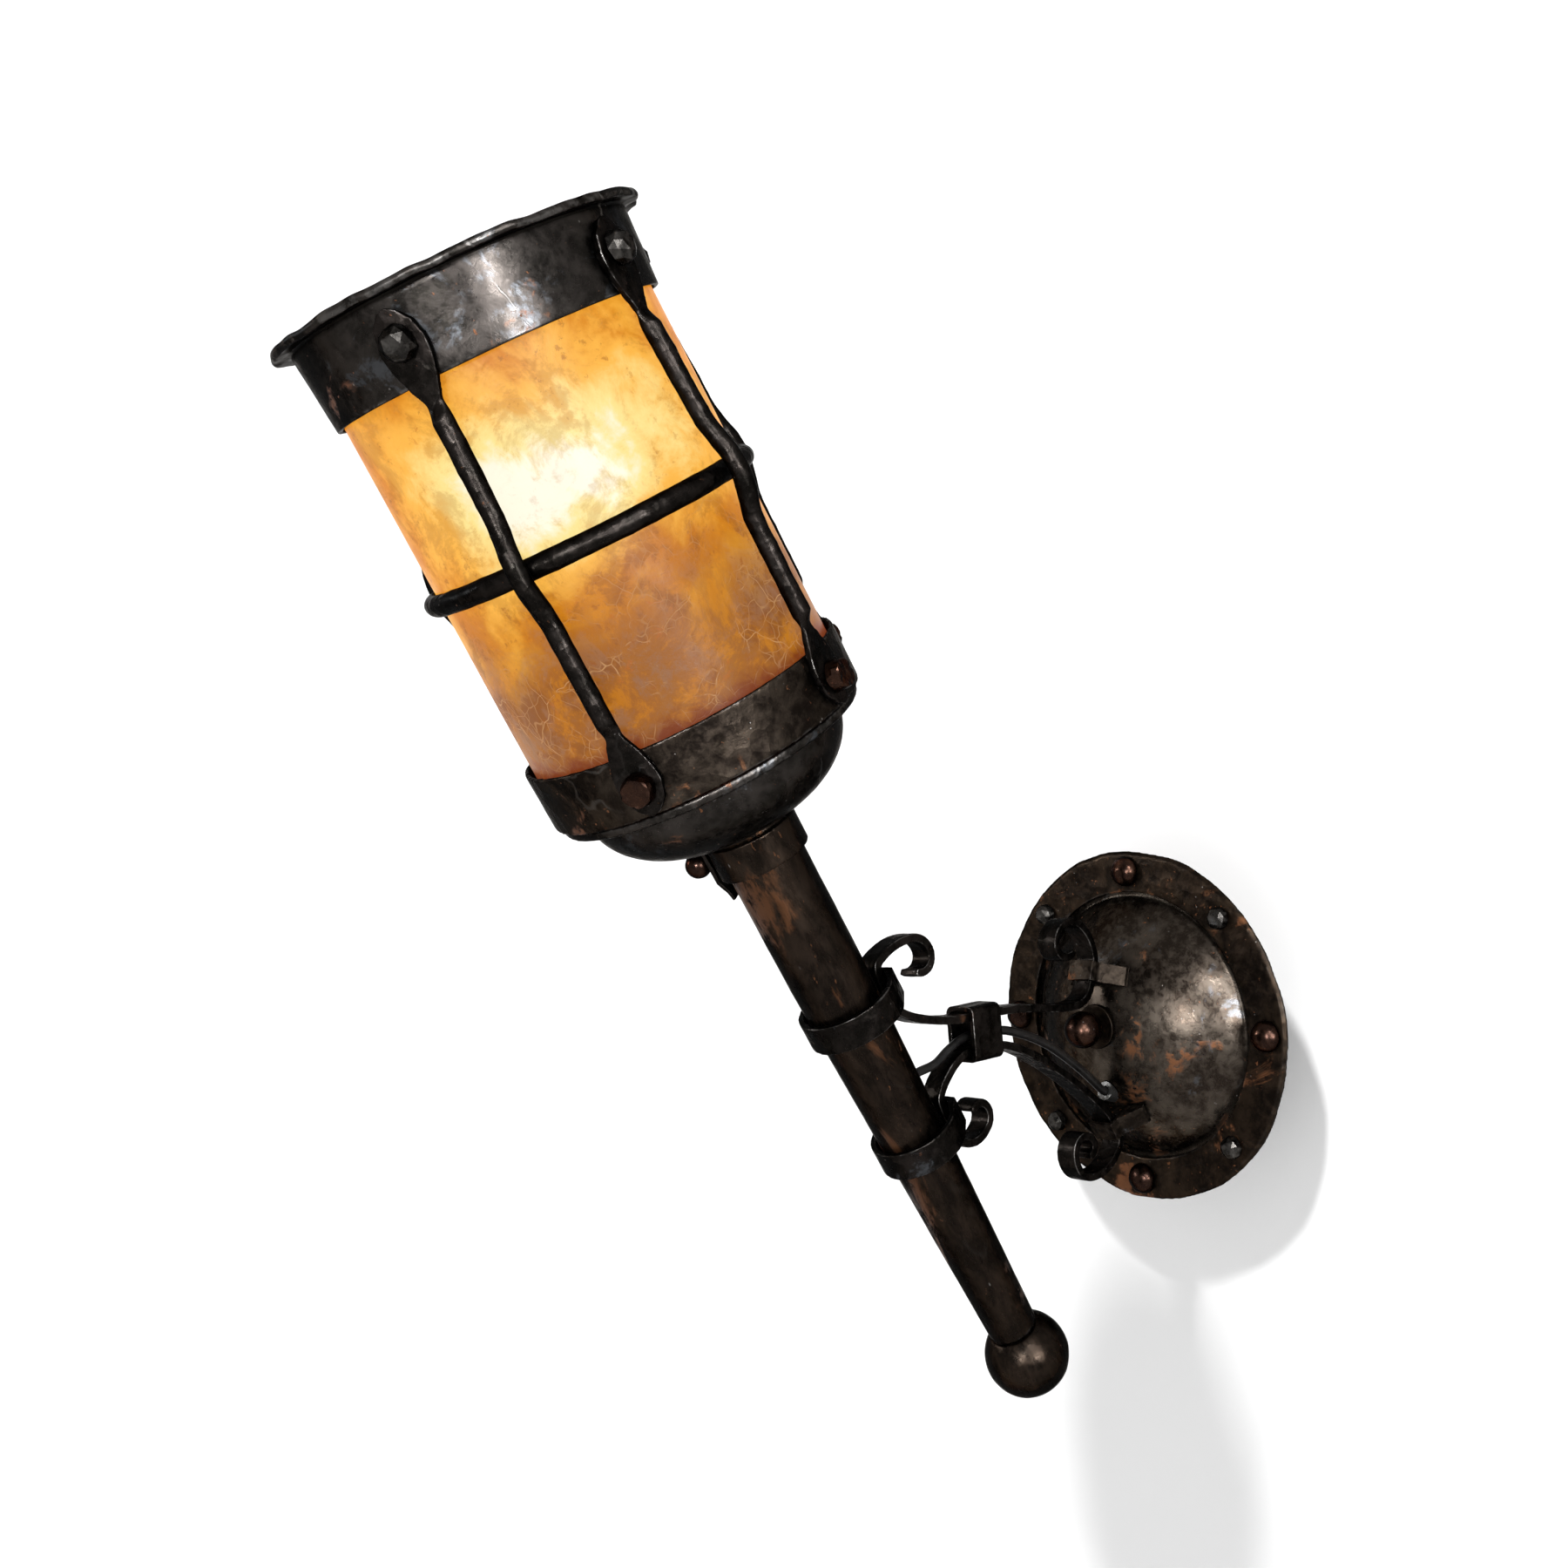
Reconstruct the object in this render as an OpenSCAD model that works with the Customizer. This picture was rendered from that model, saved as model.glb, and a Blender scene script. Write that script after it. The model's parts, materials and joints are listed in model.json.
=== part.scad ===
// Torch sconce: a riveted wall plate and domed canopy carry a forged scroll bracket,
// and the bracket clamps a leaning tapered shaft with a caged mica lantern on top.
// The wall is the plane Y = 0, the light stands out toward -Y, and +Z is up.
// The origin is the centre of the wall plate's back face.

/* [Wall plate] */
// Outer diameter of the hammered wall ring
ring_d = 200; // [190:1:215]
// Thickness of the hammered wall ring
ring_t = 4; // [3:0.5:6]
// Depth of the hammered waves along forged edges
edge_wave = 1.4; // [0:0.1:2]
// Gap between the canopy dome's foot and the ring's inner edge
ring_gap = 2; // [1:0.5:4]
// Distance from the ring's outer edge in to the dome's foot
dome_inset = 27.5; // [25:0.5:32]
// Height of the canopy dome above its flange
dome_h = 36.5; // [30:0.5:45]
// Sheet thickness of the canopy
dome_t = 1.5; // [1:0.1:2.5]
// Distance from the ring's outer edge in to the middles of the plate rivets
rivet_inset = 13; // [12:0.5:14]
// Number of large plate rivets, with as many small ones between them
rivet_pairs = 4; // [3:1:6]
// Turn of the rivet circle from level
rivet_turn = -2; // [-20:1:20]
// Head diameter of the large plate rivets
large_head_d = 17; // [12:0.5:18]
// Head diameter of the small plate rivets
small_head_d = 12.5; // [9:0.5:14]
// Shank diameter of the plate rivets
plate_shank_d = 6; // [4:0.5:7]

/* [Canopy fixing] */
// Diameter of the threaded mounting stud
stud_d = 6; // [5:0.5:7]
// Diameter of the ball nut that closes the canopy
knob_d = 20.6; // [16:0.2:26]
// Distance from the wall to the middle of the ball nut
knob_reach = 50; // [48:0.5:54]
// Length of the crossbar behind the canopy
crossbar_l = 112; // [108:1:118]
// Width of the crossbar
crossbar_w = 18; // [14:1:24]
// Thickness of the crossbar
crossbar_t = 2.5; // [2:0.1:3.5]
// Distance between the two junction box screws
box_screw_gap = 88.9; // [83:0.1:92]
// Width of the slots for the junction box screws
box_slot_w = 4.6; // [4:0.1:5.2]
// End to end length of those slots
box_slot_l = 14; // [9:0.5:16]

/* [Scroll bracket] */
// Width of the forged strap
strap_w = 12.7; // [10:0.1:16]
// Thickness of the forged strap
strap_t = 4.8; // [3.5:0.1:5.5]
// Distance from the wall to the middle of the bracket collar
collar_reach = 133; // [125:1:140]
// Height of the bracket collar's middle above the plate's centre
collar_z = 15.8; // [12:0.1:20]
// Distance between the middles of the two straps inside the collar
strap_gap = 17; // [15:0.1:20]
// Width of the bracket collar along the straps
collar_w = 21; // [14:0.5:26]
// Thickness of the bracket collar's own strap
collar_t = 3.2; // [2.5:0.1:4]
// Angle on the dome at which the upper strap is clipped
upper_clip_angle = 20; // [18:0.5:24]
// Angle on the dome at which the lower strap is clipped
lower_clip_angle = 30; // [28:0.5:32]
// Distance that the clips hold the straps off the dome
clip_stand = 9; // [7:0.5:11]
// Width of a clip along the strap
clip_w = 12; // [8:0.5:16]
// Half the spread of a clip's feet on the dome
clip_spread = 20; // [16:0.5:24]
// Thickness of the clip over the strap
clip_t = 3; // [2:0.2:4]

/* [Torch] */
// Lean of the torch away from the wall
tilt = 28.25; // [24:0.25:32]
// Distance from the wall to the torch axis, level with the plate's centre
torch_reach = 196.5; // [192:0.5:201]
// Length along the axis from that level down to the middle of the ball
foot_l = 172; // [165:1:185]
// Diameter of the ball at the foot
ball_d = 44; // [40:0.5:50]
// Outer diameter of the shaft where it meets the ball
shaft_foot_d = 26; // [23:0.2:28]
// Outer diameter of the shaft at its top
shaft_top_d = 37.2; // [35:0.2:39]
// Length along the axis from the ball's middle to where the shaft stops widening
shaft_taper_l = 236; // [230:1:245]
// Wall thickness of the shaft
shaft_wall = 2.6; // [2:0.1:3]
// Width of the two shaft clamps along the axis
clamp_w = 15; // [12:0.5:20]
// Thickness of the shaft clamps
clamp_t = 3.3; // [2.5:0.1:4]
// Middle of the lower clamp, measured along the axis from the ball's middle
lower_clamp_h = 138; // [134:0.5:142]
// Middle of the upper clamp, measured along the axis from the ball's middle
upper_clamp_h = 213.5; // [208:0.5:218]

/* [Lantern] */
// Length along the axis from the ball's middle to the head collar
collar_start = 300; // [288:1:312]
// Height of the head collar
head_collar_h = 16.5; // [14:0.5:20]
// Wall thickness of the head collar
head_collar_t = 3.2; // [2.6:0.1:4.5]
// Gap in which the collar's neck shows under the bowl
neck_gap = 3.5; // [2:0.5:6]
// Diameter of the bowl
bowl_d = 122; // [116:1:128]
// Depth of the bowl
bowl_depth = 32; // [28:1:36]
// Sheet thickness of the bowl
bowl_t = 2; // [1.5:0.1:2.5]
// Outer diameter of the rolled bead round the bowl's rim
bead_d = 142; // [140:0.5:144]
// Height of that bead
bead_h = 5; // [4:0.5:8]
// Outer diameter of the bottom band
band_d = 147; // [146.4:0.2:152]
// Thickness of both bands
band_t = 2.8; // [2.2:0.1:3.2]
// Height of the bottom band
bottom_band_h = 27; // [25:1:34]
// Open height of the shade between the two bands
shade_open_h = 152; // [130:1:170]
// Outer diameter of the top band at its lower edge
top_band_d = 140; // [139.4:0.2:142]
// How much the top band widens to its lip, in diameter
top_band_flare = 2.6; // [1:0.2:5]
// Height of the top band
top_band_h = 30; // [28:1:36]
// Height of the flared lip above the top band
lip_h = 6; // [4:0.5:9]
// How far the lip flares out past the top band
lip_out = 7.8; // [5:0.2:10]
// Outer diameter of the mica shade at its foot
shade_d = 140; // [139:0.2:141]
// How much the mica shade narrows to its top, in diameter
shade_narrowing = 7; // [6:0.2:8]
// Thickness of the mica sheet
shade_t = 1.2; // [0.8:0.1:2]
// Distance that the shade's top edge stays below the lip
shade_sunk = 8; // [6:0.5:10]

/* [Cage] */
// Diameter of the forged round bars
bar_d = 9.2; // [8:0.1:10]
// Height of the middle ring above the bottom band
ring_rise = 78; // [66:0.5:90]
// Height of the middle ring's half-round section
mid_ring_h = 9.6; // [8:0.2:11]
// Thickness of the middle ring
mid_ring_t = 6.6; // [5:0.2:7]
// Thickness of the bars' flattened ends
spade_t = 3.6; // [3:0.1:4.5]
// Width of the bars' flattened ends
spade_w = 20; // [16:0.5:22]
// Length of the bars' flattened ends
spade_l = 36; // [32:0.5:38]
// Distance from a cage rivet to the tip of its flattened end
spade_tip = 13; // [11:0.5:13.5]
// Distance from the middle ring at which a bar starts to bend out over it
kink_l = 20; // [16:1:30]
// Head diameter of the cage rivets
cage_head_d = 13.6; // [11:0.2:15]
// Shank diameter of the cage rivets
cage_shank_d = 5; // [4:0.2:6]

/* [Lamp] */
// Diameter of the threaded nipple that carries the lampholder
nipple_d = 10; // [10:0.5:12]
// Bore of the nipple
nipple_bore = 7.2; // [6.6:0.2:7.6]
// Height of the stem between the bowl and the lampholder
stem_h = 70; // [50:1:76]
// Outer diameter of the lampholder
holder_d = 38; // [36:1:42]
// Height of the lampholder
holder_h = 46; // [42:1:50]
// Diameter of the lamp's screw base
base_d = 26.2; // [26:0.1:26.6]
// Diameter of the lamp's glass
bulb_d = 60; // [50:1:62]
// Length of the lamp's glass above its base
bulb_l = 82; // [76:1:90]

/* [Hidden] */

$fn = 96;
slip = 0.05;        // radial clearance of pins, screws and rivets in their holes
seat = 0.25;        // gap left where a piece rests on a curved neighbour
slide = 0.1;        // gap between flat faces of pieces that turn
past = 1;           // how far a cut runs past the face it opens
small_fn = 48;

// Wall plate
ring_r = ring_d / 2;
ring_step = 0.4;    // share of the ring's thickness by which its hammered front edge steps in
dome_r = ring_r - dome_inset;
rivet_circle_r = ring_r - rivet_inset;
flange_t = dome_t;
flange_inset = 4;   // how far the canopy's flange stays inside the ring's edge
flange_r = ring_r - flange_inset;
ring_front = flange_t + ring_t;
dome_ball_r = (dome_r * dome_r + dome_h * dome_h) / (2 * dome_h);
dome_top = flange_t + dome_h;
dome_mid = dome_top - dome_ball_r;
rivet_pitch = 360 / rivet_pairs;
head_height = 0.42; // height of a rivet head as a share of its diameter
fix_z = 4;          // height of the canopy's fixing above the plate's centre

// Canopy fixing
stud_r = stud_d / 2;
stud_end = knob_reach + 2;
knob_r = knob_d / 2;
washer_r = 12.5;
washer_t = 2;       // thickness of the washer over the top of the dome
washer_face = dome_top + washer_t;
neck_r = 6.5;       // radius of the ball nut's neck
nut_t = 6;
nut_d = 15;
earth_x = -24;
earth_r = 2.5;
earth_head = 3.4;   // head diameter of the earth screw as a multiple of its radius
block = [20, 14, 12];
block_x = 12;
block_hole = 4;     // diameter and depth of the screw holes in the terminal block

// Bracket
half_t = strap_t / 2;
upper_z = collar_z + strap_gap / 2;
lower_z = collar_z - strap_gap / 2;
strap_ride = dome_ball_r + clip_stand + half_t;
collar_near = -collar_reach + collar_w / 2;
collar_far = -collar_reach - collar_w / 2;
collar_corner = 1;  // how much rounder the bracket collar's corners are than its thickness
seam_gap = 0.8;     // gap between the ends of the bracket collar's strap
foot_depth = 3;     // depth of a clip's feet before they are cut to the dome
foot_edge = 2;      // how much thinner than the clip its feet end
shoulder = 1;       // how far a clip's shoulders round in

// Torch frame: heights run along the axis from the middle of the ball
out_n = [cos(tilt), sin(tilt)];     // square to the axis, toward the wall, as [y, z]
up_a = [-sin(tilt), cos(tilt)];     // along the axis, as [y, z]
ball_r = ball_d / 2;
floor_h = collar_start + head_collar_h + neck_gap;
ball_at = [-torch_reach, 0] - foot_l * up_a;
foot_r = shaft_foot_d / 2;
shaft_r = shaft_top_d / 2;
shaft_seat = sqrt(ball_r * ball_r - foot_r * foot_r);
plate_t = 3;        // top plate of the head collar, which rests on the shaft's end
shaft_end = floor_h - plate_t - slide;
spigot_l = 12;      // length of the ball's spigot inside the shaft
clamp_loose = 3;    // how far the clamps stand off the sides of the shaft
bar_clear = 0.3;    // gap between the mica, the middle ring and the bars

// Lantern
bead_z = floor_h + bowl_depth;
band_z = bead_z + bead_h;
band_top = band_z + bottom_band_h;
top_z = band_top + shade_open_h;
lip_z = top_z + top_band_h;
rim_z = lip_z + lip_h;
bowl_r = bowl_d / 2;
bead_r = bead_d / 2;
band_r = band_d / 2;
top_r = top_band_d / 2;
lip_r = top_r + top_band_flare / 2;
lip_root = 1.2;     // height below the lip at which the band starts to roll out
lip_back = 4;       // height below the lip at which its inside starts to roll out
lip_knee = [0.4, 0.3];      // where the lip's outside bends, as shares of its reach and height
lip_hollow = [0.3, 0.8];    // where its inside bends, in the same shares
shade_r = shade_d / 2;
shade_top_r = shade_r - shade_narrowing / 2;
shade_h = lip_z - shade_sunk - band_z;
head_collar_r = shaft_r + slip + head_collar_t;

// Cage
bar_r = bar_d / 2;
mid_z = band_top + ring_rise;
function shade_at(z) = shade_r - shade_narrowing / 2 * (z - band_z) / shade_h;
mid_in = shade_at(mid_z) + bar_clear;
mid_out = mid_in + mid_ring_t;
kink_r = mid_out + bar_clear + bar_r;
foot_rivet_z = band_z + bottom_band_h / 2;
head_rivet_z = top_z + top_band_h / 2;
bar_angles = [-57, 16, 80, 144, -152];
shank_r = cage_shank_d / 2;

// Lamp
nipple_r = nipple_d / 2;
nipple_proud = 1;   // how far the nipple stands out of its locknut
nipple_grip = 4;    // how far it screws into the lampholder
locknut_t = 4;
locknut_d = 1.7 * nipple_d;
nipple_z = floor_h - plate_t - locknut_t - nipple_proud;
stem_wall = 3;
stem_z = floor_h + bowl_t;
cap_z = stem_z + stem_h;
cap_h = 16;
cap_foot = 4;       // how far the lampholder cap's foot reaches past the nipple
cap_bend = [3, 0.45];       // where the cap bends: inset from its side, and share of its height
cap_side = 0.6;     // share of the cap's height at which its straight side starts
shell_inset = 0.8;  // how far the porcelain shell stays inside the cap's side
holder_r = holder_d / 2;
shell_z = cap_z + cap_h;
holder_top = cap_z + holder_h;
base_r = base_d / 2;
base_fit = 0.08;
base_l = 25;
contact_r = 5;      // radius of the lamp's foot contact
contact_h = 3;      // height of the cone from that contact out to the screw base
socket_z = holder_top - base_l;
glass_z = holder_top + 1.5;
bulb_r = bulb_d / 2;

iron = [0.23, 0.18, 0.15];
black_iron = [0.13, 0.12, 0.12];
rust = [0.36, 0.21, 0.14];
steel = [0.62, 0.62, 0.64];
brass = [0.76, 0.62, 0.34];

// ---------- shared functions and shapes ----------

// Places local +Z along -Y, out of the wall, at height z.
module out_of_wall(z = 0) translate([0, 0, z]) rotate([90, 0, 0]) children();

// Places local +Z along the torch axis, with height h above the ball's middle at the origin.
module on_torch(h = 0)
    translate([0, ball_at[0], ball_at[1]]) rotate([tilt, 0, 0]) translate([0, 0, h]) children();

// Turns a flat [y, z] outline into a plate of width w across the bracket's plane.
module across(w) rotate([90, 0, 90]) translate([0, 0, -w / 2]) linear_extrude(w) children();

// A gentle uneven wave for forged edges: it repeats round the circle and stays within one.
function wave(a, k = 0) = 0.5 * sin(7 * a + 40 + k) + 0.3 * sin(11 * a + 100 + 2 * k)
    + 0.2 * sin(17 * a + 3 * k);

// A round outline of radius r whose edge waves in by up to edge_wave.
module forged_disc(r, k = 0, steps = 120)
    polygon([for (i = [0:steps - 1]) let (a = 360 * i / steps)
        (r - edge_wave / 2 + edge_wave / 2 * wave(a, k)) * [cos(a), sin(a)]]);

// A domed head with its flat side at the origin and its shank below.
module rivet(head_d, shank_r, shank_l) {
    head_h = head_height * head_d;
    cap_r = (head_d * head_d / 4 + head_h * head_h) / (2 * head_h);
    intersection() {
        translate([0, 0, head_h - cap_r]) sphere(cap_r, $fn = small_fn);
        cylinder(r = head_d, h = head_d);
    }
    translate([0, 0, -shank_l]) cylinder(r = shank_r, h = shank_l + head_h / 2, $fn = small_fn);
}

// Points of a run of arcs: legs are [radius, turn], a positive turn bends to the left.
function arc_run(p, a, legs, i = 0) = i >= len(legs) ? [] :
    let (r = legs[i][0], turn = legs[i][1], s = sign(turn), n = ceil(abs(turn) / 9),
        c = p + s * r * [-sin(a), cos(a)],
        pts = [for (k = [1:n]) c + s * r * [sin(a + turn * k / n), -cos(a + turn * k / n)]])
    concat(pts, arc_run(pts[n - 1], a + turn, legs, i + 1));

// Points of a smooth curve from p, heading a, to q, heading b; m and w are the pulls of its ends.
function blend_run(p, a, q, b, m, w, n = 14) =
    let (p1 = p + m * [cos(a), sin(a)], q1 = q - w * [cos(b), sin(b)])
    [for (i = [1:n - 1]) let (t = i / n, u = 1 - t)
        u * u * u * p + 3 * u * u * t * p1 + 3 * u * t * t * q1 + t * t * t * q];

function dir(a) = [cos(a), sin(a)];
function turned(v) = [for (i = [len(v) - 1:-1:0]) v[i]];
function unit(v) = v / norm(v);
function heading(p, i) = unit(p[min(i + 1, len(p) - 1)] - p[max(i - 1, 0)]);

// Outline of a strap of thickness t that follows a middle line, thinned at its two tips.
module strap_outline(p, t) {
    n = len(p) - 1;
    function side(i) = let (d = heading(p, i), edge = min(i, n - i), h = t / 2 * min(1, 0.7 + 0.1 * edge))
        [-d[1] * h, d[0] * h];
    polygon(concat([for (i = [0:n]) p[i] + side(i)], [for (i = [n:-1:0]) p[i] - side(i)]));
}

// ---------- wall plate ----------

module rivet_spots(first) for (i = [0:rivet_pairs - 1])
    rotate(rivet_turn + rivet_pitch * (i + first)) translate([rivet_circle_r, 0, 0]) children();

module plate_rivet_holes() for (first = [0, 0.5]) rivet_spots(first)
    translate([0, 0, -past])
        cylinder(d = plate_shank_d + 2 * slip, h = ring_front + 2 * past, $fn = small_fn);

module wall_ring() color(iron) out_of_wall() difference() {
    union() {
        translate([0, 0, flange_t]) linear_extrude(ring_t * (1 - ring_step)) forged_disc(ring_r);
        translate([0, 0, flange_t]) linear_extrude(ring_t) forged_disc(ring_r - ring_t * ring_step);
    }
    cylinder(r = dome_r + ring_gap, h = 2 * ring_front);
    plate_rivet_holes();
}

module dome_ball(grow = 0) translate([0, 0, dome_mid]) sphere(dome_ball_r + grow, $fn = 180);

module canopy_dome() color(iron) out_of_wall() difference() {
    union() {
        cylinder(r = flange_r, h = flange_t);
        intersection() {
            dome_ball();
            cylinder(r = dome_r + past, h = dome_top + past);
        }
    }
    intersection() {
        dome_ball(-dome_t);
        translate([0, 0, -past]) cylinder(r = dome_r - dome_t, h = dome_top + past);
    }
    translate([0, 0, -past]) cylinder(r = dome_r - 2 * dome_t, h = flange_t + past);
    translate([0, fix_z, 0]) cylinder(r = stud_r + bar_clear, h = dome_top + past, $fn = small_fn);
    plate_rivet_holes();
    lead_hole();
}

module plate_rivets_large() color(rust) out_of_wall() rivet_spots(0)
    translate([0, 0, ring_front]) rivet(large_head_d, plate_shank_d / 2, ring_front);

module plate_rivets_small() color(rust) out_of_wall() rivet_spots(0.5)
    translate([0, 0, ring_front]) rivet(small_head_d, plate_shank_d / 2, ring_front);

// ---------- canopy fixing ----------

module crossbar() color(steel) out_of_wall(fix_z) difference() {
    linear_extrude(crossbar_t) square([crossbar_l, crossbar_w], center = true);
    for (s = [-1, 1]) translate([s * box_screw_gap / 2, 0, -past]) box_slot();
    translate([0, 0, -past]) cylinder(r = stud_r + slip, h = crossbar_t + 2 * past, $fn = small_fn);
    translate([earth_x, 0, -past]) cylinder(r = earth_r + slip, h = crossbar_t + 2 * past, $fn = small_fn);
}

module box_slot() {
    run = (box_slot_l - box_slot_w) / 2;
    for (s = [-1, 1]) translate([s * run, 0, 0])
        cylinder(d = box_slot_w, h = crossbar_t + 2 * past, $fn = small_fn);
    translate([-run, -box_slot_w / 2, 0]) cube([2 * run, box_slot_w, crossbar_t + 2 * past]);
}

module mounting_stud() color(steel) out_of_wall(fix_z) cylinder(r = stud_r, h = stud_end, $fn = small_fn);

module hex_nut(d, t, bore_r) difference() {
    cylinder(d = d, h = t, $fn = 6);
    translate([0, 0, -past]) cylinder(r = bore_r, h = t + 2 * past, $fn = small_fn);
}

module stud_nut() color(steel) out_of_wall(fix_z) translate([0, 0, crossbar_t])
    hex_nut(nut_d, nut_t, stud_r + slip);

module earth_screw() color("seagreen") out_of_wall(fix_z) translate([earth_x, 0, crossbar_t])
    rivet(earth_head * earth_r, earth_r, crossbar_t);

module knob_washer() color(iron) out_of_wall(fix_z) difference() {
    cylinder(r = washer_r, h = washer_face);
    translate([0, -fix_z, 0]) dome_ball(slide);
    cylinder(r = stud_r + bar_clear, h = washer_face + past, $fn = small_fn);
}

module canopy_knob() color(rust) out_of_wall(fix_z) difference() {
    union() {
        translate([0, 0, knob_reach]) sphere(knob_r);
        translate([0, 0, washer_face + slide]) cylinder(r = neck_r, h = knob_reach - washer_face);
    }
    translate([0, 0, washer_face - past])
        cylinder(r = stud_r + slip, h = stud_end - washer_face + 2 * past, $fn = small_fn);
    translate([0, 0, washer_face + slide - knob_r]) cylinder(r = knob_r, h = knob_r);
}

module terminal_block() color("ivory") out_of_wall(fix_z) translate([block_x, -block[1] / 2, crossbar_t])
    difference() {
        cube(block);
        for (x = [block[0] / 4, block[0] * 3 / 4]) translate([x, block[1] / 2, block[2] - block_hole])
            cylinder(d = block_hole, h = block_hole + past, $fn = small_fn);
    }

// ---------- scroll bracket ----------

// A point of the strap's middle line over the dome, at angle a up from the knob.
function over_dome(a) = [-dome_mid - strap_ride * cos(a), strap_ride * sin(a)];
function torch_point(h, out) = ball_at + h * up_a + out * out_n;

// Radius of the shaft's outside at height h above the ball's middle.
function shaft_at(h) = foot_r + (shaft_r - foot_r) * min(1, (h - shaft_seat) / (shaft_taper_l - shaft_seat));

// Inside a clamp the strap's lower end lies on the shaft, and it leans away from it going up.
strap_lean = 7;
function strap_low(h) = let (b = h - clamp_w / 2) torch_point(b, shaft_at(b) + seat + slide + half_t);
function strap_top(h) = strap_low(h) + clamp_w / cos(strap_lean) * dir(90 + tilt - strap_lean);
// How far from the torch axis the strap's back reaches inside the clamp.
function strap_back(h) = shaft_at(h - clamp_w / 2) + seat + slide + strap_t + clamp_w * tan(strap_lean);

upper_top = strap_top(upper_clamp_h);
upper_low = strap_low(upper_clamp_h);
lower_top = strap_top(lower_clamp_h);
lower_low = strap_low(lower_clamp_h);

function clip_end(a, s) = over_dome(a) + s * clip_w / 2 * [sin(abs(a)), sign(a) * cos(a)];

upper_line = concat(
    turned(arc_run(upper_top, 90 + tilt - strap_lean,
        [[5, -72], [38, -37], [11.4, -67], [7.6, -79], [7.6, -64]])),
    [upper_top, upper_low],
    blend_run(upper_low, tilt - 90 - strap_lean, [collar_far, upper_z], 0, 9, 20),
    [[collar_far, upper_z], [collar_near, upper_z]],
    blend_run([collar_near, upper_z], 0, clip_end(upper_clip_angle, -1), 90 - upper_clip_angle, 44, 22),
    [clip_end(upper_clip_angle, -1), clip_end(upper_clip_angle, 1)],
    arc_run(clip_end(upper_clip_angle, 1), 90 - upper_clip_angle,
        [[5.5, 24], [26, 46], [13.5, 105], [7.6, 105], [8.8, 56]]));

lower_line = concat(
    turned(arc_run(lower_low, tilt - 90 - strap_lean, [[14.8, 101], [17.8, 19], [7.7, 112], [4.6, 100]])),
    [lower_low, lower_top],
    blend_run(lower_top, 90 + tilt - strap_lean, [collar_far, lower_z], 0, 5, 10),
    [[collar_far, lower_z], [collar_near, lower_z]],
    blend_run([collar_near, lower_z], 0, clip_end(-lower_clip_angle, -1), lower_clip_angle - 90, 22, 12),
    [clip_end(-lower_clip_angle, -1), clip_end(-lower_clip_angle, 1)],
    arc_run(clip_end(-lower_clip_angle, 1), lower_clip_angle - 90,
        [[5, -62], [27, -64], [13.3, -96], [8.3, -134], [4.8, -128]]));

module upper_scroll() color(black_iron) across(strap_w) strap_outline(upper_line, strap_t);
module lower_scroll() color(black_iron) across(strap_w) strap_outline(lower_line, strap_t);

// The collar is one strap bent round both scroll straps, with its ends meeting on the +X side.
module bracket_collar() color(black_iron) translate([0, collar_far, collar_z]) rotate([-90, 0, 0])
    difference() {
        in = [strap_w + 2 * seat, strap_gap + strap_t + 2 * seat];
        linear_extrude(collar_w) rounded_box(in + 2 * collar_t * [1, 1], collar_t + collar_corner);
        translate([0, 0, -past]) linear_extrude(collar_w + 2 * past) rounded_box(in, 2 * seat);
        translate([in[0] / 2 - past, 0, -past]) cube([2 * collar_t, seam_gap, collar_w + 2 * past]);
    }

module rounded_box(size, r) {
    for (x = [-1, 1], y = [-1, 1]) translate([x * (size[0] / 2 - r), y * (size[1] / 2 - r)])
        circle(r, $fn = small_fn);
    square([size[0] - 2 * r, size[1]], center = true);
    square([size[0], size[1] - 2 * r], center = true);
}

// A forged saddle: its feet follow the dome, its body rises to the strap and closes over it.
module saddle_clip(a) {
    rise = clip_stand + strap_t + 2 * seat + clip_t;
    half = strap_w / 2 + seat;
    side = half + clip_t;
    out_of_wall() translate([0, 0, dome_mid]) rotate([-a, 0, 0]) translate([0, 0, dome_ball_r])
        difference() {
            rotate([90, 0, 0]) translate([0, 0, -clip_w / 2]) linear_extrude(clip_w)
                polygon([[-clip_spread, -foot_depth], [clip_spread, -foot_depth],
                    [clip_spread, clip_t - foot_edge], [side, clip_stand + half_t],
                    [side - shoulder, rise], [shoulder - side, rise], [-side, clip_stand + half_t],
                    [-clip_spread, clip_t - foot_edge]]);
            translate([0, 0, -dome_ball_r]) sphere(dome_ball_r + slide, $fn = 180);
            translate([-half, -clip_w, clip_stand - seat]) cube([2 * half, 2 * clip_w, strap_t + 2 * seat]);
        }
}

module upper_clip() color(iron) saddle_clip(upper_clip_angle);
module lower_clip() color(iron) saddle_clip(-lower_clip_angle);

// ---------- supply lead ----------

lead_r = 2.5;
lead_sides = 8;
// Where the lead enters the shaft, as a height along the axis.
lead_h = 159.5;
// Where the lead enters the dome, as [y, z], and its slope there.
lead_in = [-32, -33];
lead_slope = -18;
lead_dir = [cos(lead_slope), sin(lead_slope)];

// The stretch inside the shaft, as [distance from the axis, height along it].
shaft_stretch = [[0, 395.5], [0, 381], [0, 366], [0, 352], [0, 338], [0, 324], [0, 310], [0, 296],
    [0, 282], [0, 268], [0, 254], [0, 240], [0, 226], [0, 212], [0, 200], [0.2, 190], [1, 181],
    [2.6, 173], [5.4, 166], [9.6, 161.2], [14, 159.5], [20, 159.5]];
// The stretch in the open, as [y, z].
open_stretch = [[-163, 4.4], [-153, 9.8], [-143, 13.6], [-133, 15], [-122, 14.6], [-110, 12.8], [-98, 9],
    [-87, 4.4], [-76, -1.6], [-65, -9], [-54, -17.2], [-45.5, -24.4]];
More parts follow.
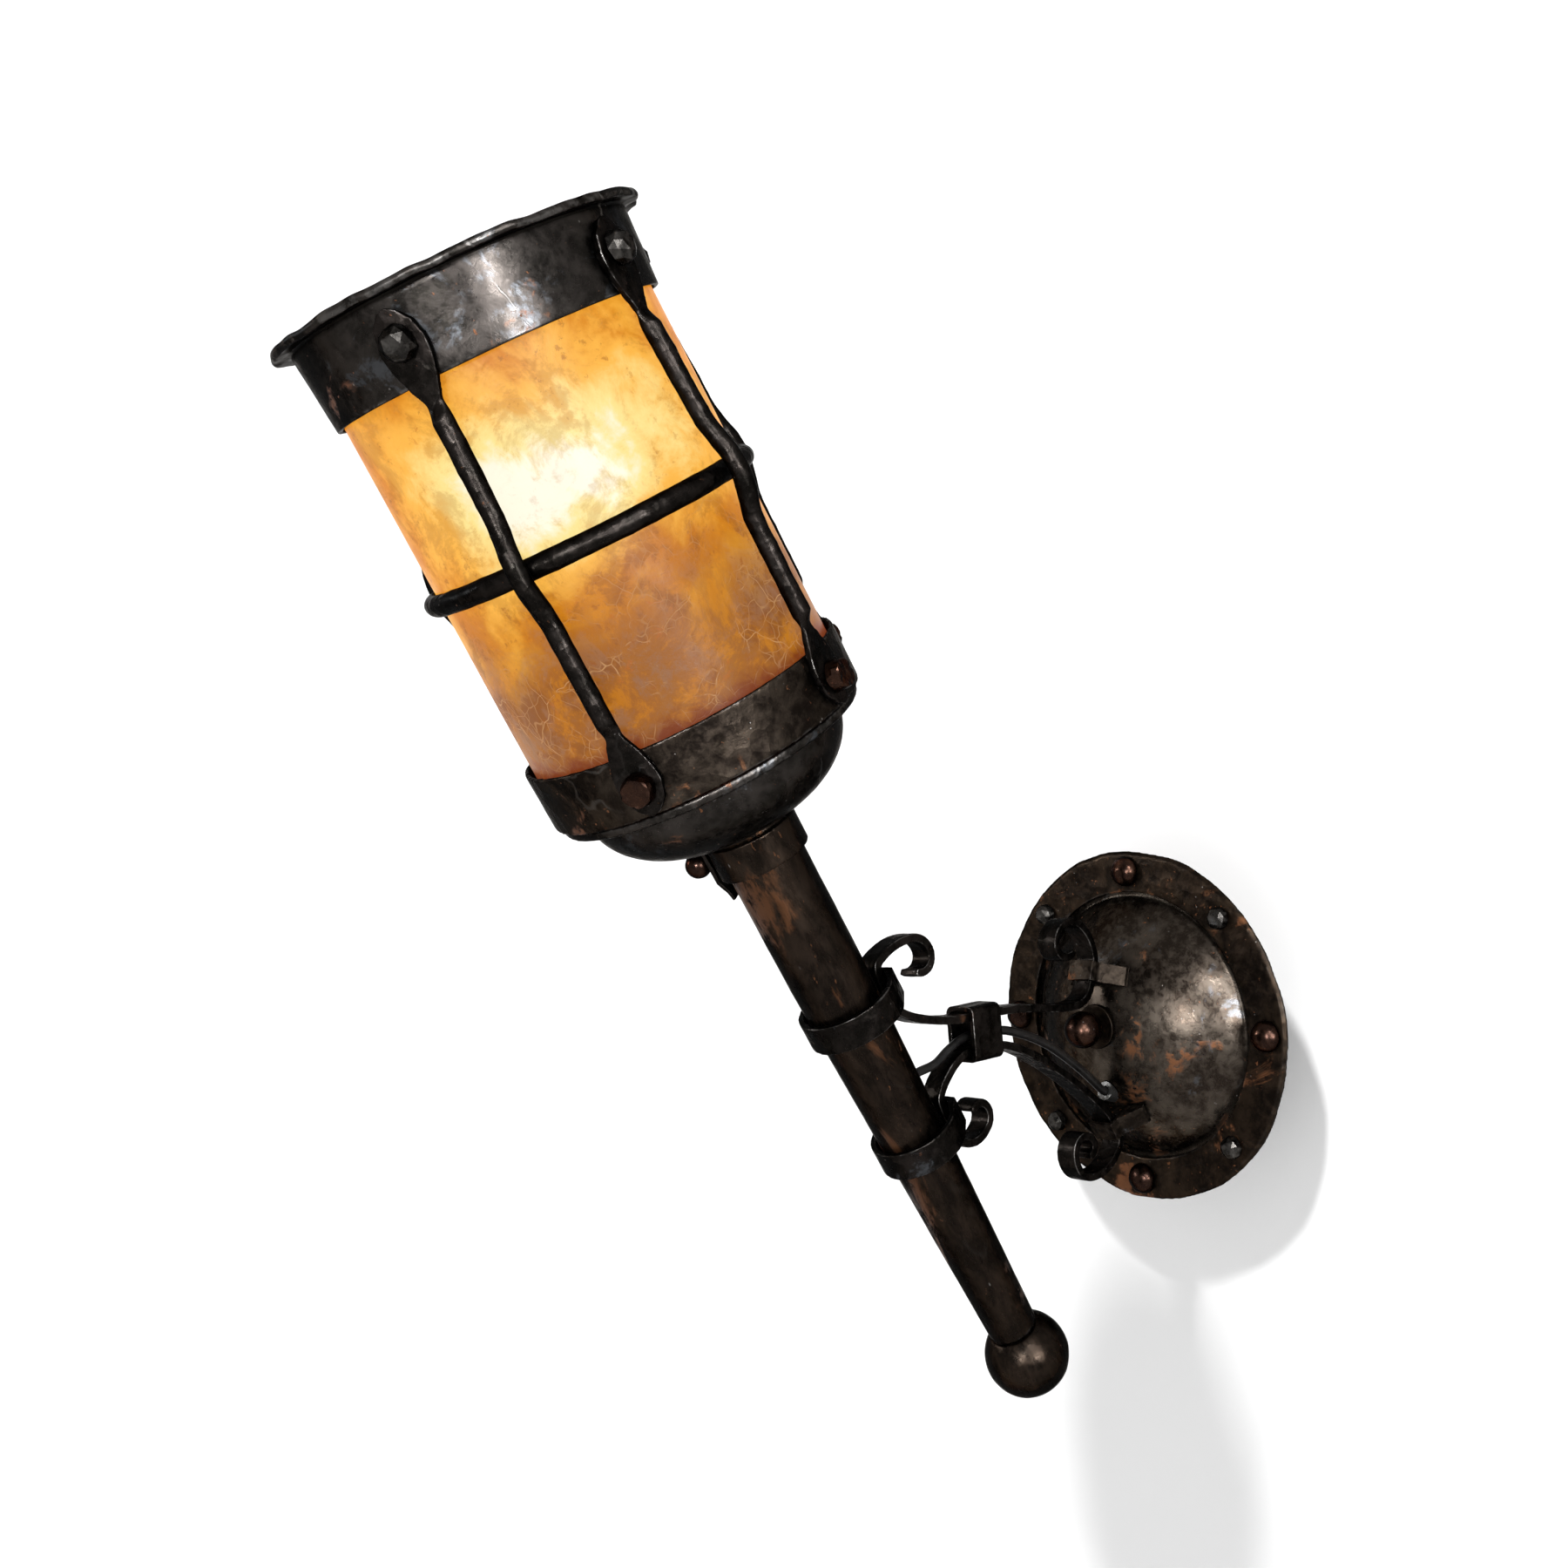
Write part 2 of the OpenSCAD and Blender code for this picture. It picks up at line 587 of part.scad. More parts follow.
// The stretch behind the dome, as [x, y, z].
dome_stretch = [[1.6, -21, -36.2], [5.4, -15.4, -35.4], [10.6, -11.4, -31], [15.8, -9.4, -24.4],
    [20, -8.7, -17.4], [21.8, -8.5, -12], [22, -8.5, -7.2]];

lead_route = concat([for (q = shaft_stretch) let (p = torch_point(q[1], q[0])) [0, p[0], p[1]]],
    [for (q = open_stretch) [0, q[0], q[1]]],
    [for (k = [-6, 0, 5]) let (p = lead_in + k * lead_dir) [0, p[0], p[1]]], dome_stretch);

// A tube along the points p: size holds each ring's half widths, first along the side vector.
module swept_tube(p, size, sides, side) {
    n = len(p);
    rings = [for (i = [0:n - 1]) let (t = heading(p, i), u = unit(side - (t * side) * t), v = cross(t, u))
        for (k = [0:sides - 1]) let (a = 360 * (k + 0.5) / sides)
            p[i] + size[i][0] * cos(a) * u + size[i][1] * sin(a) * v];
    faces = concat([[for (k = [0:sides - 1]) k]],
        [for (i = [0:n - 2], k = [0:sides - 1]) let (a = i * sides + k, b = i * sides + (k + 1) % sides)
            [a, a + sides, b + sides, b]],
        [[for (k = [sides - 1:-1:0]) (n - 1) * sides + k]]);
    polyhedron(points = rings, faces = faces, convexity = 8);
}

module supply_lead() color(black_iron)
    swept_tube(lead_route, [for (p = lead_route) [lead_r, lead_r]], lead_sides, [1, 0, 0]);

// The hole and its bush point along the lead.
bush_r = 3.9;
bush_lip = 1.2;
bush_in = 4.4;      // how far the bush reaches in past the dome, and out
bush_out = 4;
bush_cut = 24;
module along_lead() translate([0, lead_in[0], lead_in[1]]) rotate([90 + lead_slope, 0, 0]) children();
module lead_hole() rotate([-90, 0, 0]) along_lead()
    translate([0, 0, -bush_cut / 2]) cylinder(r = bush_r + slip, h = bush_cut, $fn = small_fn);

module lead_bush() color(steel) difference() {
    union() {
        along_lead() translate([0, 0, -bush_in]) cylinder(r = bush_r, h = bush_in + bush_out, $fn = small_fn);
        difference() {
            along_lead() translate([0, 0, -bush_in]) cylinder(r = bush_r + bush_lip, h = bush_in + bush_out,
                $fn = small_fn);
            out_of_wall() dome_ball(slide);
        }
    }
    along_lead() translate([0, 0, -bush_cut / 2]) cylinder(r = lead_r + seat, h = bush_cut, $fn = small_fn);
}

// ---------- torch shaft ----------

module shaft() color(iron) on_torch() difference() {
    rotate_extrude() polygon([[foot_r - shaft_wall, shaft_seat], [foot_r, shaft_seat],
        [shaft_at(shaft_taper_l), shaft_taper_l], [shaft_r, shaft_end], [shaft_r - shaft_wall, shaft_end],
        [shaft_r - shaft_wall, shaft_taper_l]]);
    translate([0, 0, lead_h]) rotate([-90, 0, 0])
        cylinder(r = lead_r + 2 * seat, h = 2 * shaft_r, $fn = small_fn);
}

module ball_finial() color(iron) on_torch() {
    difference() {
        sphere(ball_r);
        translate([0, 0, shaft_seat]) cylinder(r = ball_r, h = ball_r);
    }
    translate([0, 0, shaft_seat - past]) cylinder(r = foot_r - shaft_wall - slip, h = spigot_l + past);
}

// A band bent round the shaft and the strap behind it: round in front, square behind the strap.
module clamp_outline(r, half, back, mid) {
    d = norm([half, back - mid]);
    a = atan2(back - mid, half) - acos(min(1, r / d));
    translate([0, mid]) circle(r);
    polygon([[0, mid], [r * cos(a), mid + r * sin(a)], [half, back], [-half, back],
        [-r * cos(a), mid + r * sin(a)]]);
}

module shaft_clamp(h) {
    widest = shaft_at(h + clamp_w / 2);
    r = widest + clamp_loose;
    mid = clamp_loose - seat;
    half = strap_w / 2 + seat;
    back = strap_back(h) + seat;
    on_torch(h - clamp_w / 2) difference() {
        linear_extrude(clamp_w) clamp_outline(r + clamp_t, half + clamp_t, back + clamp_t, mid);
        translate([0, 0, -past]) linear_extrude(clamp_w + 2 * past) clamp_outline(r, half, back, mid);
    }
}

module upper_clamp() color(black_iron) shaft_clamp(upper_clamp_h);
module lower_clamp() color(black_iron) shaft_clamp(lower_clamp_h);

// ---------- lantern: collar, bowl and bands ----------

screw_turn = 210;   // where the clamp screw points, round the axis
screw_h = 7.5;      // height of the clamp screw above the collar's foot
screw_r = 3;
screw_ball_r = 6.3;
tab_t = 2.6;
tab_w = 13;
screw_reach = head_collar_r + 2 * seat + tab_t + screw_ball_r;

module toward_screw() translate([0, 0, collar_start + screw_h]) rotate([0, 90, screw_turn]) children();

neck_in = 1.4;
module head_collar() color(iron) on_torch() difference() {
    union() {
        translate([0, 0, collar_start]) cylinder(r = head_collar_r, h = head_collar_h);
        translate([0, 0, collar_start]) cylinder(r = head_collar_r - neck_in, h = floor_h - collar_start);
    }
    translate([0, 0, collar_start - past])
        cylinder(r = shaft_r + slip, h = floor_h - plate_t + past - collar_start);
    cylinder(r = nipple_r + slip, h = floor_h + past, $fn = small_fn);
    toward_screw() cylinder(r = screw_r + slip, h = 2 * head_collar_r, $fn = small_fn);
}

// A leaf of strap under the screw's ball: its foot lies by the shaft and its top curls outward.
tab_mid = head_collar_r + seat + tab_t / 2;
tab_line = [[shaft_r + tab_t / 2 + seat, -12], [shaft_r + tab_t, -7], [tab_mid, -2], [tab_mid, 5],
    [tab_mid, 12], [tab_mid + 1, 16], [tab_mid + 3, 19.5]];
module screw_tab() color(iron) on_torch() difference() {
    rotate(screw_turn) rotate([90, 0, 0]) translate([0, collar_start, -tab_w / 2]) linear_extrude(tab_w)
        strap_outline(tab_line, tab_t);
    toward_screw() cylinder(r = screw_r + 2 * slip, h = 2 * head_collar_r, $fn = small_fn);
}

module clamp_screw() color(rust) on_torch() toward_screw() {
    translate([0, 0, screw_reach]) sphere(screw_ball_r, $fn = small_fn);
    translate([0, 0, shaft_r + bar_clear])
        cylinder(r = screw_r, h = screw_reach - shaft_r - bar_clear, $fn = small_fn);
}

// Outer side of the bowl: an elliptic curve from its flat floor to the bead.
bowl_steps = 14;
bead_round = 1;     // rounding of the bead's edges
bowl_flat = head_collar_r - neck_in;
function bowl_curve(grow) = [for (i = [0:bowl_steps]) let (a = 90 * i / bowl_steps)
    [bowl_flat + (bowl_r - bowl_flat + grow) * sin(a), bead_z - (bowl_depth + grow) * cos(a)]];

module bowl() color(iron) on_torch() difference() {
    rotate_extrude() polygon(concat([[0, floor_h]], bowl_curve(0),
        [[bead_r - bead_round, bead_z], [bead_r, bead_z + bead_round], [bead_r, band_z - bead_round],
            [bead_r - bead_round / 2, band_z], [bowl_r, band_z]],
        turned(bowl_curve(-bowl_t)), [[0, floor_h + bowl_t]]));
    translate([0, 0, floor_h - past]) cylinder(r = nipple_r + slip, h = bowl_t + 2 * past, $fn = small_fn);
}

module radial_holes(z, r) for (a = bar_angles) rotate(a) translate([0, 0, z]) rotate([0, 90, 0])
    cylinder(r = r, h = 2 * band_r, $fn = small_fn);

module bottom_band() color(iron) on_torch() difference() {
    translate([0, 0, band_z]) cylinder(r = band_r, h = bottom_band_h);
    translate([0, 0, band_z - past]) cylinder(r = band_r - band_t, h = bottom_band_h + 2 * past);
    radial_holes(foot_rivet_z, shank_r + slip);
}

module top_band() color(iron) on_torch() difference() {
    intersection() {
        rotate_extrude() polygon([[top_r - band_t, top_z], [top_r, top_z], [lip_r, lip_z - lip_root],
            [lip_r + lip_out * lip_knee[0], lip_z + lip_h * lip_knee[1]],
            [lip_r + lip_out, rim_z - band_t / 2], [lip_r + lip_out - band_t / 2, rim_z],
            [lip_r + lip_out * lip_hollow[0], lip_z + lip_h * lip_hollow[1]],
            [lip_r - band_t / 2, lip_z], [lip_r - band_t, lip_z - lip_back]]);
        translate([0, 0, top_z - past]) linear_extrude(top_band_h + lip_h + 2 * past)
            forged_disc(lip_r + lip_out, 70);
    }
    radial_holes(head_rivet_z, shank_r + slip);
}

module mica_shade() color([0.95, 0.62, 0.2, 0.6]) on_torch(band_z) difference() {
    cylinder(r1 = shade_r, r2 = shade_top_r, h = shade_h);
    translate([0, 0, -past])
        cylinder(r1 = shade_r - shade_t, r2 = shade_top_r - shade_t, h = shade_h + 2 * past);
}

// ---------- cage ----------

// Half-round hoop: flat against the mica, round outside.
module mid_ring() color(black_iron) on_torch(mid_z) rotate_extrude() {
    flat = mid_ring_t - mid_ring_h / 2;
    translate([mid_in + flat, 0]) intersection() {
        circle(d = mid_ring_h, $fn = small_fn);
        translate([0, -mid_ring_h]) square(2 * mid_ring_h);
    }
    translate([mid_in, -mid_ring_h / 2]) square([flat, mid_ring_h]);
}

// Leaf outline of a bar's flattened end, along +Y from its neck to its hammered, uneven tip.
module leaf() {
    half = spade_w / 2;
    flank = [for (t = [0:0.1:1.01]) [neck_half + (half - neck_half) * sin(90 * t), spade_l * leaf_flank * t]];
    polygon(concat(flank, [for (q = leaf_tip) [half * q[0], spade_l * q[1]]],
        [for (q = turned(flank)) [-q[0], q[1]]]));
}
neck_half = 3.4;    // half the width of a leaf at its neck
leaf_flank = 0.62;  // share of a leaf's length over which it widens
leaf_tip = [[0.86, 0.8], [0.5, 0.93], [0.1, 1], [-0.3, 0.97], [-0.78, 0.84]];   // in half widths and lengths

foot_neck = foot_rivet_z + spade_l - spade_tip;
head_neck = head_rivet_z - spade_l + spade_tip;
// Outside radius of the top band at height z.
function top_band_at(z) = top_r + (lip_r - top_r) * (z - top_z) / (top_band_h - lip_root);

neck_l = 6;         // length of the forged neck between the round bar and its flat end
neck_out = 1;       // how far the bar steps out at that neck
neck_rooted = 4;    // how far the bar runs into its flat end
kink_top = 5;       // half the straight length of a bar over the middle ring
bend_l = 4;         // length over which a bend is eased, each way from its corner
bar_sides = 16;
bar_stand = 2.6;    // gap between a bar and the mica
// Radius of a bar's middle line where it runs along the mica at height z.
function along_shade(z) = shade_at(z) + bar_r + bar_stand;

// A bar's middle line as [radius, height]: straight legs with corners over the middle ring.
foot_at = band_r + slide + spade_t / 2;
head_at = top_band_at(head_neck) + slide + spade_t / 2;
bar_corners = [[foot_at, foot_neck - neck_rooted], [foot_at, foot_neck],
    [foot_at + neck_out, foot_neck + neck_l], [along_shade(mid_z - kink_l), mid_z - kink_l],
    [kink_r, mid_z - kink_top], [kink_r, mid_z + kink_top],
    [along_shade(mid_z + kink_l), mid_z + kink_l], [head_at + neck_out, head_neck - neck_l],
    [head_at, head_neck], [head_at, head_neck + neck_rooted]];

// Replaces each of the corners from first to last by a short curve.
function eased(p, first, last) = [for (i = [0:len(p) - 1])
    if (i < first || i > last) p[i]
    else let (a = p[i] - bend_l * unit(p[i] - p[i - 1]), b = p[i] + bend_l * unit(p[i + 1] - p[i]))
        each [for (t = [0:1 / 3:1.01]) (1 - t) * (1 - t) * a + 2 * t * (1 - t) * p[i] + t * t * b]];

// How round the bar is at height z, from 0 at its flat ends to 1 along its length.
function roundness(z) = max(0, min(1, (z - foot_neck) / neck_l, (head_neck - z) / neck_l));
function bar_size(z) = let (k = roundness(z))
    [(1 - k) * (neck_half + 1) + k * bar_r, (1 - k) * (spade_t / 2 - slide) + k * bar_r];

// A round bar kinked outward over the middle ring, flattened at both ends to lie on the bands.
module cage_bar(turn) color(black_iron) on_torch() rotate(turn) difference() {
    union() {
        line = eased(bar_corners, 3, 6);
        swept_tube([for (p = line) [p[0], 0, p[1]]], [for (p = line) bar_size(p[1])], bar_sides, [0, 1, 0]);
        intersection() {
            translate([0, 0, foot_neck]) rotate([90, 180, 90]) linear_extrude(2 * band_r) leaf();
            difference() {
                cylinder(r = band_r + slide + spade_t, h = mid_z);
                cylinder(r = band_r + slide, h = mid_z);
            }
        }
        intersection() {
            translate([0, 0, head_neck]) rotate([90, 0, 90]) linear_extrude(2 * band_r) leaf();
            top_skin(slide + spade_t);
            difference() {
                cylinder(r = 2 * band_r, h = rim_z);
                top_skin(slide);
            }
        }
    }
    for (z = [foot_rivet_z, head_rivet_z]) translate([0, 0, z]) rotate([0, 90, 0])
        cylinder(r = shank_r + slip, h = 2 * band_r, $fn = small_fn);
}

// The cone that the top band's outside lies on, grown outward by g.
module top_skin(g) translate([0, 0, mid_z])
    cylinder(r1 = top_band_at(mid_z) + g, r2 = top_band_at(rim_z) + g, h = rim_z - mid_z);

module bar_front() cage_bar(bar_angles[0]);
module bar_right() cage_bar(bar_angles[1]);
module bar_rear_right() cage_bar(bar_angles[2]);
module bar_rear() cage_bar(bar_angles[3]);
module bar_left() cage_bar(bar_angles[4]);

module bottom_band_rivets() color(rust) on_torch(foot_rivet_z) for (a = bar_angles)
    rotate(a) translate([band_r + slide + spade_t + seat, 0, 0]) rotate([0, 90, 0])
        rivet(cage_head_d, shank_r, band_t + spade_t + slide + seat);

module top_band_rivets() color(rust) on_torch(head_rivet_z) for (a = bar_angles)
    rotate(a) translate([top_band_at(head_rivet_z) + slide + spade_t + 2 * seat, 0, 0]) rotate([0, 90, 0])
        rivet(cage_head_d, shank_r, band_t + spade_t + slide + seat);

// ---------- lamp ----------

module nipple() color(brass) on_torch(nipple_z) difference() {
    run = cap_z + nipple_grip - nipple_z;
    cylinder(r = nipple_r, h = run, $fn = small_fn);
    translate([0, 0, -past]) cylinder(d = nipple_bore, h = run + 2 * past, $fn = small_fn);
}

module nipple_locknut() color(steel) on_torch(floor_h - plate_t - locknut_t)
    hex_nut(locknut_d, locknut_t, nipple_r + slip);

module stem_tube() color(iron) on_torch(stem_z) difference() {
    cylinder(r = nipple_r + stem_wall, h = stem_h, $fn = small_fn);
    translate([0, 0, -past]) cylinder(r = nipple_r + slip, h = stem_h + 2 * past, $fn = small_fn);
}

module lampholder_cap() color(brass) on_torch(cap_z) difference() {
    rotate_extrude() polygon([[0, 0], [nipple_r + cap_foot, 0], [holder_r - cap_bend[0], cap_h * cap_bend[1]],
        [holder_r, cap_h * cap_side], [holder_r, cap_h], [0, cap_h]]);
    translate([0, 0, -past]) cylinder(r = nipple_r + slip, h = nipple_grip + past, $fn = small_fn);
}

module lampholder_shell() color("ivory") on_torch(shell_z) difference() {
    cylinder(r = holder_r - shell_inset, h = holder_h - cap_h);
    translate([0, 0, socket_z - shell_z]) cylinder(r = base_r + base_fit, h = base_l + past);
}

module bulb_base() color(steel) on_torch(socket_z + slide) union() {
    translate([0, 0, contact_h]) cylinder(r = base_r, h = glass_z - socket_z - contact_h);
    cylinder(r1 = contact_r, r2 = base_r - past, h = contact_h);
}

// Pear-shaped glass: a neck that swells by a smooth curve into a ball.
module bulb_glass() color([1, 0.93, 0.75, 0.8]) on_torch(glass_z + slide) rotate_extrude() {
    mid = bulb_l - bulb_r;
    polygon(concat([[0, 0], [base_r, 0]],
        [for (t = [0.1:0.1:0.91]) [base_r + (bulb_r - base_r) * (1 - cos(180 * t)) / 2, mid * t]],
        [for (a = [0:10:90]) [bulb_r * cos(a), mid + bulb_r * sin(a)]]));
}

// ---------- nodes ----------

wall_ring();
canopy_dome();
plate_rivets_large();
plate_rivets_small();
canopy_knob();
knob_washer();
mounting_stud();
crossbar();
stud_nut();
earth_screw();
terminal_block();
lead_bush();
upper_clip();
lower_clip();
upper_scroll();
lower_scroll();
bracket_collar();
supply_lead();
shaft();
ball_finial();
upper_clamp();
lower_clamp();
head_collar();
screw_tab();
clamp_screw();
bowl();
bottom_band();
top_band();
mica_shade();
mid_ring();
bar_front();
bar_right();
bar_rear_right();
bar_rear();
bar_left();
top_band_rivets();
bottom_band_rivets();
nipple();
nipple_locknut();
stem_tube();
lampholder_cap();
lampholder_shell();
bulb_base();
bulb_glass();
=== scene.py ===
"""Dresses a wall-hung torch sconce: forged iron, a caged amber mica lantern, and the studio it hangs in."""

import json
import logging
import math
from collections.abc import Callable, Iterable
from dataclasses import dataclass, field, replace
from enum import Enum
from functools import cache
from typing import Any

import bmesh
import bpy
import numpy as np
from mathutils import Matrix, Vector

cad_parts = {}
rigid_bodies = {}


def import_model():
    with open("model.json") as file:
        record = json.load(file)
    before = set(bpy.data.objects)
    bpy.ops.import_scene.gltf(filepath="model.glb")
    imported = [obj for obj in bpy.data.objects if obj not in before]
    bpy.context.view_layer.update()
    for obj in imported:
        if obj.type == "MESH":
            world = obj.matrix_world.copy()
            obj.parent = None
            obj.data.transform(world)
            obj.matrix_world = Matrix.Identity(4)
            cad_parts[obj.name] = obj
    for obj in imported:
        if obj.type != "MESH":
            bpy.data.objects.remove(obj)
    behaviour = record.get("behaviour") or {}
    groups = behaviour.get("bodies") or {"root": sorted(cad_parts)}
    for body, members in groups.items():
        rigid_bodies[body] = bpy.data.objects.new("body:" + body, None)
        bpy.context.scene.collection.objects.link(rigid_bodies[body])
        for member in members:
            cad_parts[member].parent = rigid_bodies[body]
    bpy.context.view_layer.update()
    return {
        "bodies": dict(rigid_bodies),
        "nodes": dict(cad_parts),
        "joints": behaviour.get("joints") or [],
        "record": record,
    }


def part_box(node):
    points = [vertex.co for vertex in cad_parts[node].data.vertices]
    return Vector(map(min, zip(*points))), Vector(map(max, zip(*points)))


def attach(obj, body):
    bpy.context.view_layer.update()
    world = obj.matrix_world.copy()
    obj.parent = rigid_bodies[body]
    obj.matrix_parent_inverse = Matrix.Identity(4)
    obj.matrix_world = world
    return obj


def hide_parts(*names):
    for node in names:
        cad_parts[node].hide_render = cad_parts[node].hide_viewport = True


log = logging.getLogger("torch_sconce")

Rgb = tuple[float, float, float]
Point = tuple[float, float, float]
Values = dict[int | str, Any]
MM = 0.001
JOINED = 1e-6  # points nearer than this are one
COLOUR, NUMBER = "NodeSocketColor", "NodeSocketFloat"


class Body(Enum):
    """The rigid bodies that pieces ride on."""

    FIXED = "root"
    KNOB = "knob"
    LANTERN = "lantern"
    SCREW = "screw"
    LAMP = "bulb"


# ---------- node trees ----------


@dataclass(frozen=True)
class Flow:
    """A value that runs through a tree. Sums and products of flows become nodes."""

    graph: "Graph"
    socket: bpy.types.NodeSocket

    def __add__(self, other: Any) -> "Flow":
        """Returns the sum."""
        return self.graph.arithmetic("ADD", self, other)

    def __sub__(self, other: Any) -> "Flow":
        """Returns the difference."""
        return self.graph.arithmetic("SUBTRACT", self, other)

    def __rsub__(self, other: Any) -> "Flow":
        """Returns the difference from a plain number."""
        return self.graph.arithmetic("SUBTRACT", other, self)

    def __mul__(self, other: Any) -> "Flow":
        """Returns the product, or a vector scaled by a number."""
        return self.graph.arithmetic("MULTIPLY", self, other)

    def __truediv__(self, other: Any) -> "Flow":
        """Returns the quotient."""
        return self.graph.arithmetic("DIVIDE", self, other)

    def __rtruediv__(self, other: Any) -> "Flow":
        """Returns a plain number divided by this."""
        return self.graph.arithmetic("DIVIDE", other, self)


class Graph:
    """Adds nodes to a shader or geometry tree and links them by name."""

    def __init__(self, tree: bpy.types.NodeTree) -> None:
        """Args: tree: the tree to add to."""
        self.tree = tree

    @staticmethod
    def _pick(sockets: Any, key: int | str) -> bpy.types.NodeSocket:
        """Returns the enabled socket with that name, or the one at that index."""
        if isinstance(key, int):
            return sockets[key]
        return next(s for s in sockets if s.name == key and s.enabled)

    def feed(self, node: bpy.types.Node, inputs: Values) -> None:
        """Links or sets a node's inputs.

        Args:
            node: the node.
            inputs: a flow or a plain value for each input, by name or index.
        """
        for key, value in inputs.items():
            socket = self._pick(node.inputs, key)
            if isinstance(value, Flow):
                self.tree.links.new(value.socket, socket)
            elif socket.type == "RGBA" and len(value) == 3:
                socket.default_value = (*value, 1.0)
            else:
                socket.default_value = value

    def node(self, kind: str, inputs: Values | None = None, **settings: Any) -> bpy.types.Node:
        """Adds a node.

        Args:
            kind: the node's type.
            inputs: its inputs, as feed takes them.
            settings: properties of the node.

        Returns:
            The node.
        """
        node = self.tree.nodes.new(kind)
        for name, value in settings.items():
            setattr(node, name, value)
        self.feed(node, inputs or {})
        return node

    def flows(self, node: bpy.types.Node) -> dict[str, Flow]:
        """Returns a node's outputs by name."""
        return {s.name: Flow(self, s) for s in node.outputs if s.enabled}

    def add(self, kind: str, inputs: Values | None = None, out: int | str = 0, **settings: Any) -> Flow:
        """Adds a node as node() does, and returns one of its outputs."""
        return Flow(self, self._pick(self.node(kind, inputs, **settings).outputs, out))

    def math(self, operation: str, a: Any, b: Any = 0.0, clamp: bool = False) -> Flow:
        """Returns a Math node's output."""
        return self.add("ShaderNodeMath", {0: a, 1: b}, operation=operation, use_clamp=clamp)

    def vector(self, operation: str, a: Any, b: Any, out: int | str = 0) -> Flow:
        """Returns a Vector Math node's output."""
        return self.add("ShaderNodeVectorMath", {0: a, 1: b}, out, operation=operation)

    def arithmetic(self, operation: str, a: Any, b: Any) -> Flow:
        """Returns a + b and the like, for numbers, or for a vector a."""
        if not (isinstance(a, Flow) and a.socket.type in ("VECTOR", "RGBA")):
            return self.math(operation, a, b)
        if operation == "MULTIPLY":
            return self.add("ShaderNodeVectorMath", {0: a, "Scale": b}, operation="SCALE")
        return self.vector(operation, a, b)

    def join(self, x: Any = 0.0, y: Any = 0.0, z: Any = 0.0) -> Flow:
        """Returns a vector of three numbers."""
        return self.add("ShaderNodeCombineXYZ", {0: x, 1: y, 2: z})

    def split(self, vector: Flow) -> tuple[Flow, ...]:
        """Returns a vector's three numbers."""
        return tuple(self.flows(self.node("ShaderNodeSeparateXYZ", {0: vector})).values())

    def mix(self, factor: Any, a: Any, b: Any) -> Flow:
        """Returns a mix of two colours."""
        return self.add("ShaderNodeMix", {0: factor, 6: a, 7: b}, 2, data_type="RGBA")

    def blend(self, factor: Any, a: Any, b: Any) -> Flow:
        """Returns a mix of two numbers."""
        return self.add("ShaderNodeMix", {0: factor, 2: a, 3: b}, 0, data_type="FLOAT")

    def ramp(self, value: Any, low: Any, high: Any, to_low: Any = 0.0, to_high: Any = 1.0) -> Flow:
        """Returns value carried smoothly from low..high to to_low..to_high, and held outside."""
        inputs = {0: value, 1: low, 2: high, 3: to_low, 4: to_high}
        return self.add("ShaderNodeMapRange", inputs, interpolation_type="SMOOTHSTEP")

    def noise(
        self, where: Flow, scale: Any, detail: float = 3.0, rough: float = 0.55, twist: float = 0.0
    ) -> Flow:
        """Returns noise at a place."""
        inputs = {"Vector": where, "Scale": scale, "Detail": detail, "Roughness": rough, "Distortion": twist}
        return self.add("ShaderNodeTexNoise", inputs)

    def drift(self, where: Flow, scale: float, detail: float = 2.0) -> Flow:
        """Returns noise of three parts at a place, to bend it by."""
        return self.add("ShaderNodeTexNoise", {"Vector": where, "Scale": scale, "Detail": detail}, "Color")

    def cells(self, where: Flow, scale: Any, feature: str = "F1") -> Flow:
        """Returns a cell pattern's distance at a place."""
        inputs = {"Vector": where, "Scale": scale}
        return self.add("ShaderNodeTexVoronoi", inputs, "Distance", feature=feature)


def new_group(
    kind: str, name: str, inputs: dict[str, Any], outputs: dict[str, str]
) -> tuple[Graph, dict[str, Flow], Any]:
    """Starts a node group with named sockets.

    Args:
        kind: ShaderNodeTree or GeometryNodeTree.
        name: the group's name.
        inputs: each input's default number, or its socket type.
        outputs: each output's socket type.

    Returns:
        The graph, its inputs by name, and its output node.
    """
    tree = bpy.data.node_groups.new(name, kind)
    types = {float: NUMBER, int: "NodeSocketInt", bool: "NodeSocketBool"}
    for label, given in inputs.items():
        plain = not isinstance(given, str)
        socket_type = types[type(given)] if plain else given
        socket = tree.interface.new_socket(label, in_out="INPUT", socket_type=socket_type)
        if plain:
            socket.default_value = given
    for label, socket_type in outputs.items():
        tree.interface.new_socket(label, in_out="OUTPUT", socket_type=socket_type)
    g = Graph(tree)
    return g, g.flows(tree.nodes.new("NodeGroupInput")), tree.nodes.new("NodeGroupOutput")


def labelled(owner: Any, *names: str, unit: float | None = None) -> dict[str, Any]:
    """Returns fields under the names that node inputs give them.

    Args:
        owner: what has the fields.
        names: the fields.
        unit: what numbers are multiplied by, if anything.
    """
    values = {name.replace("_", " ").title(): getattr(owner, name) for name in names}
    return {label: value * unit for label, value in values.items()} if unit else values


# ---------- finishes ----------

MIDDLE = (0.5, 0.5, 0.5)
PAINTED_HOLLOW_SHADE = (0.003, 0.0025, 0.002)
RUBBED_EDGE_AND_SHEEN = (0.42, 0.38, 0.34)


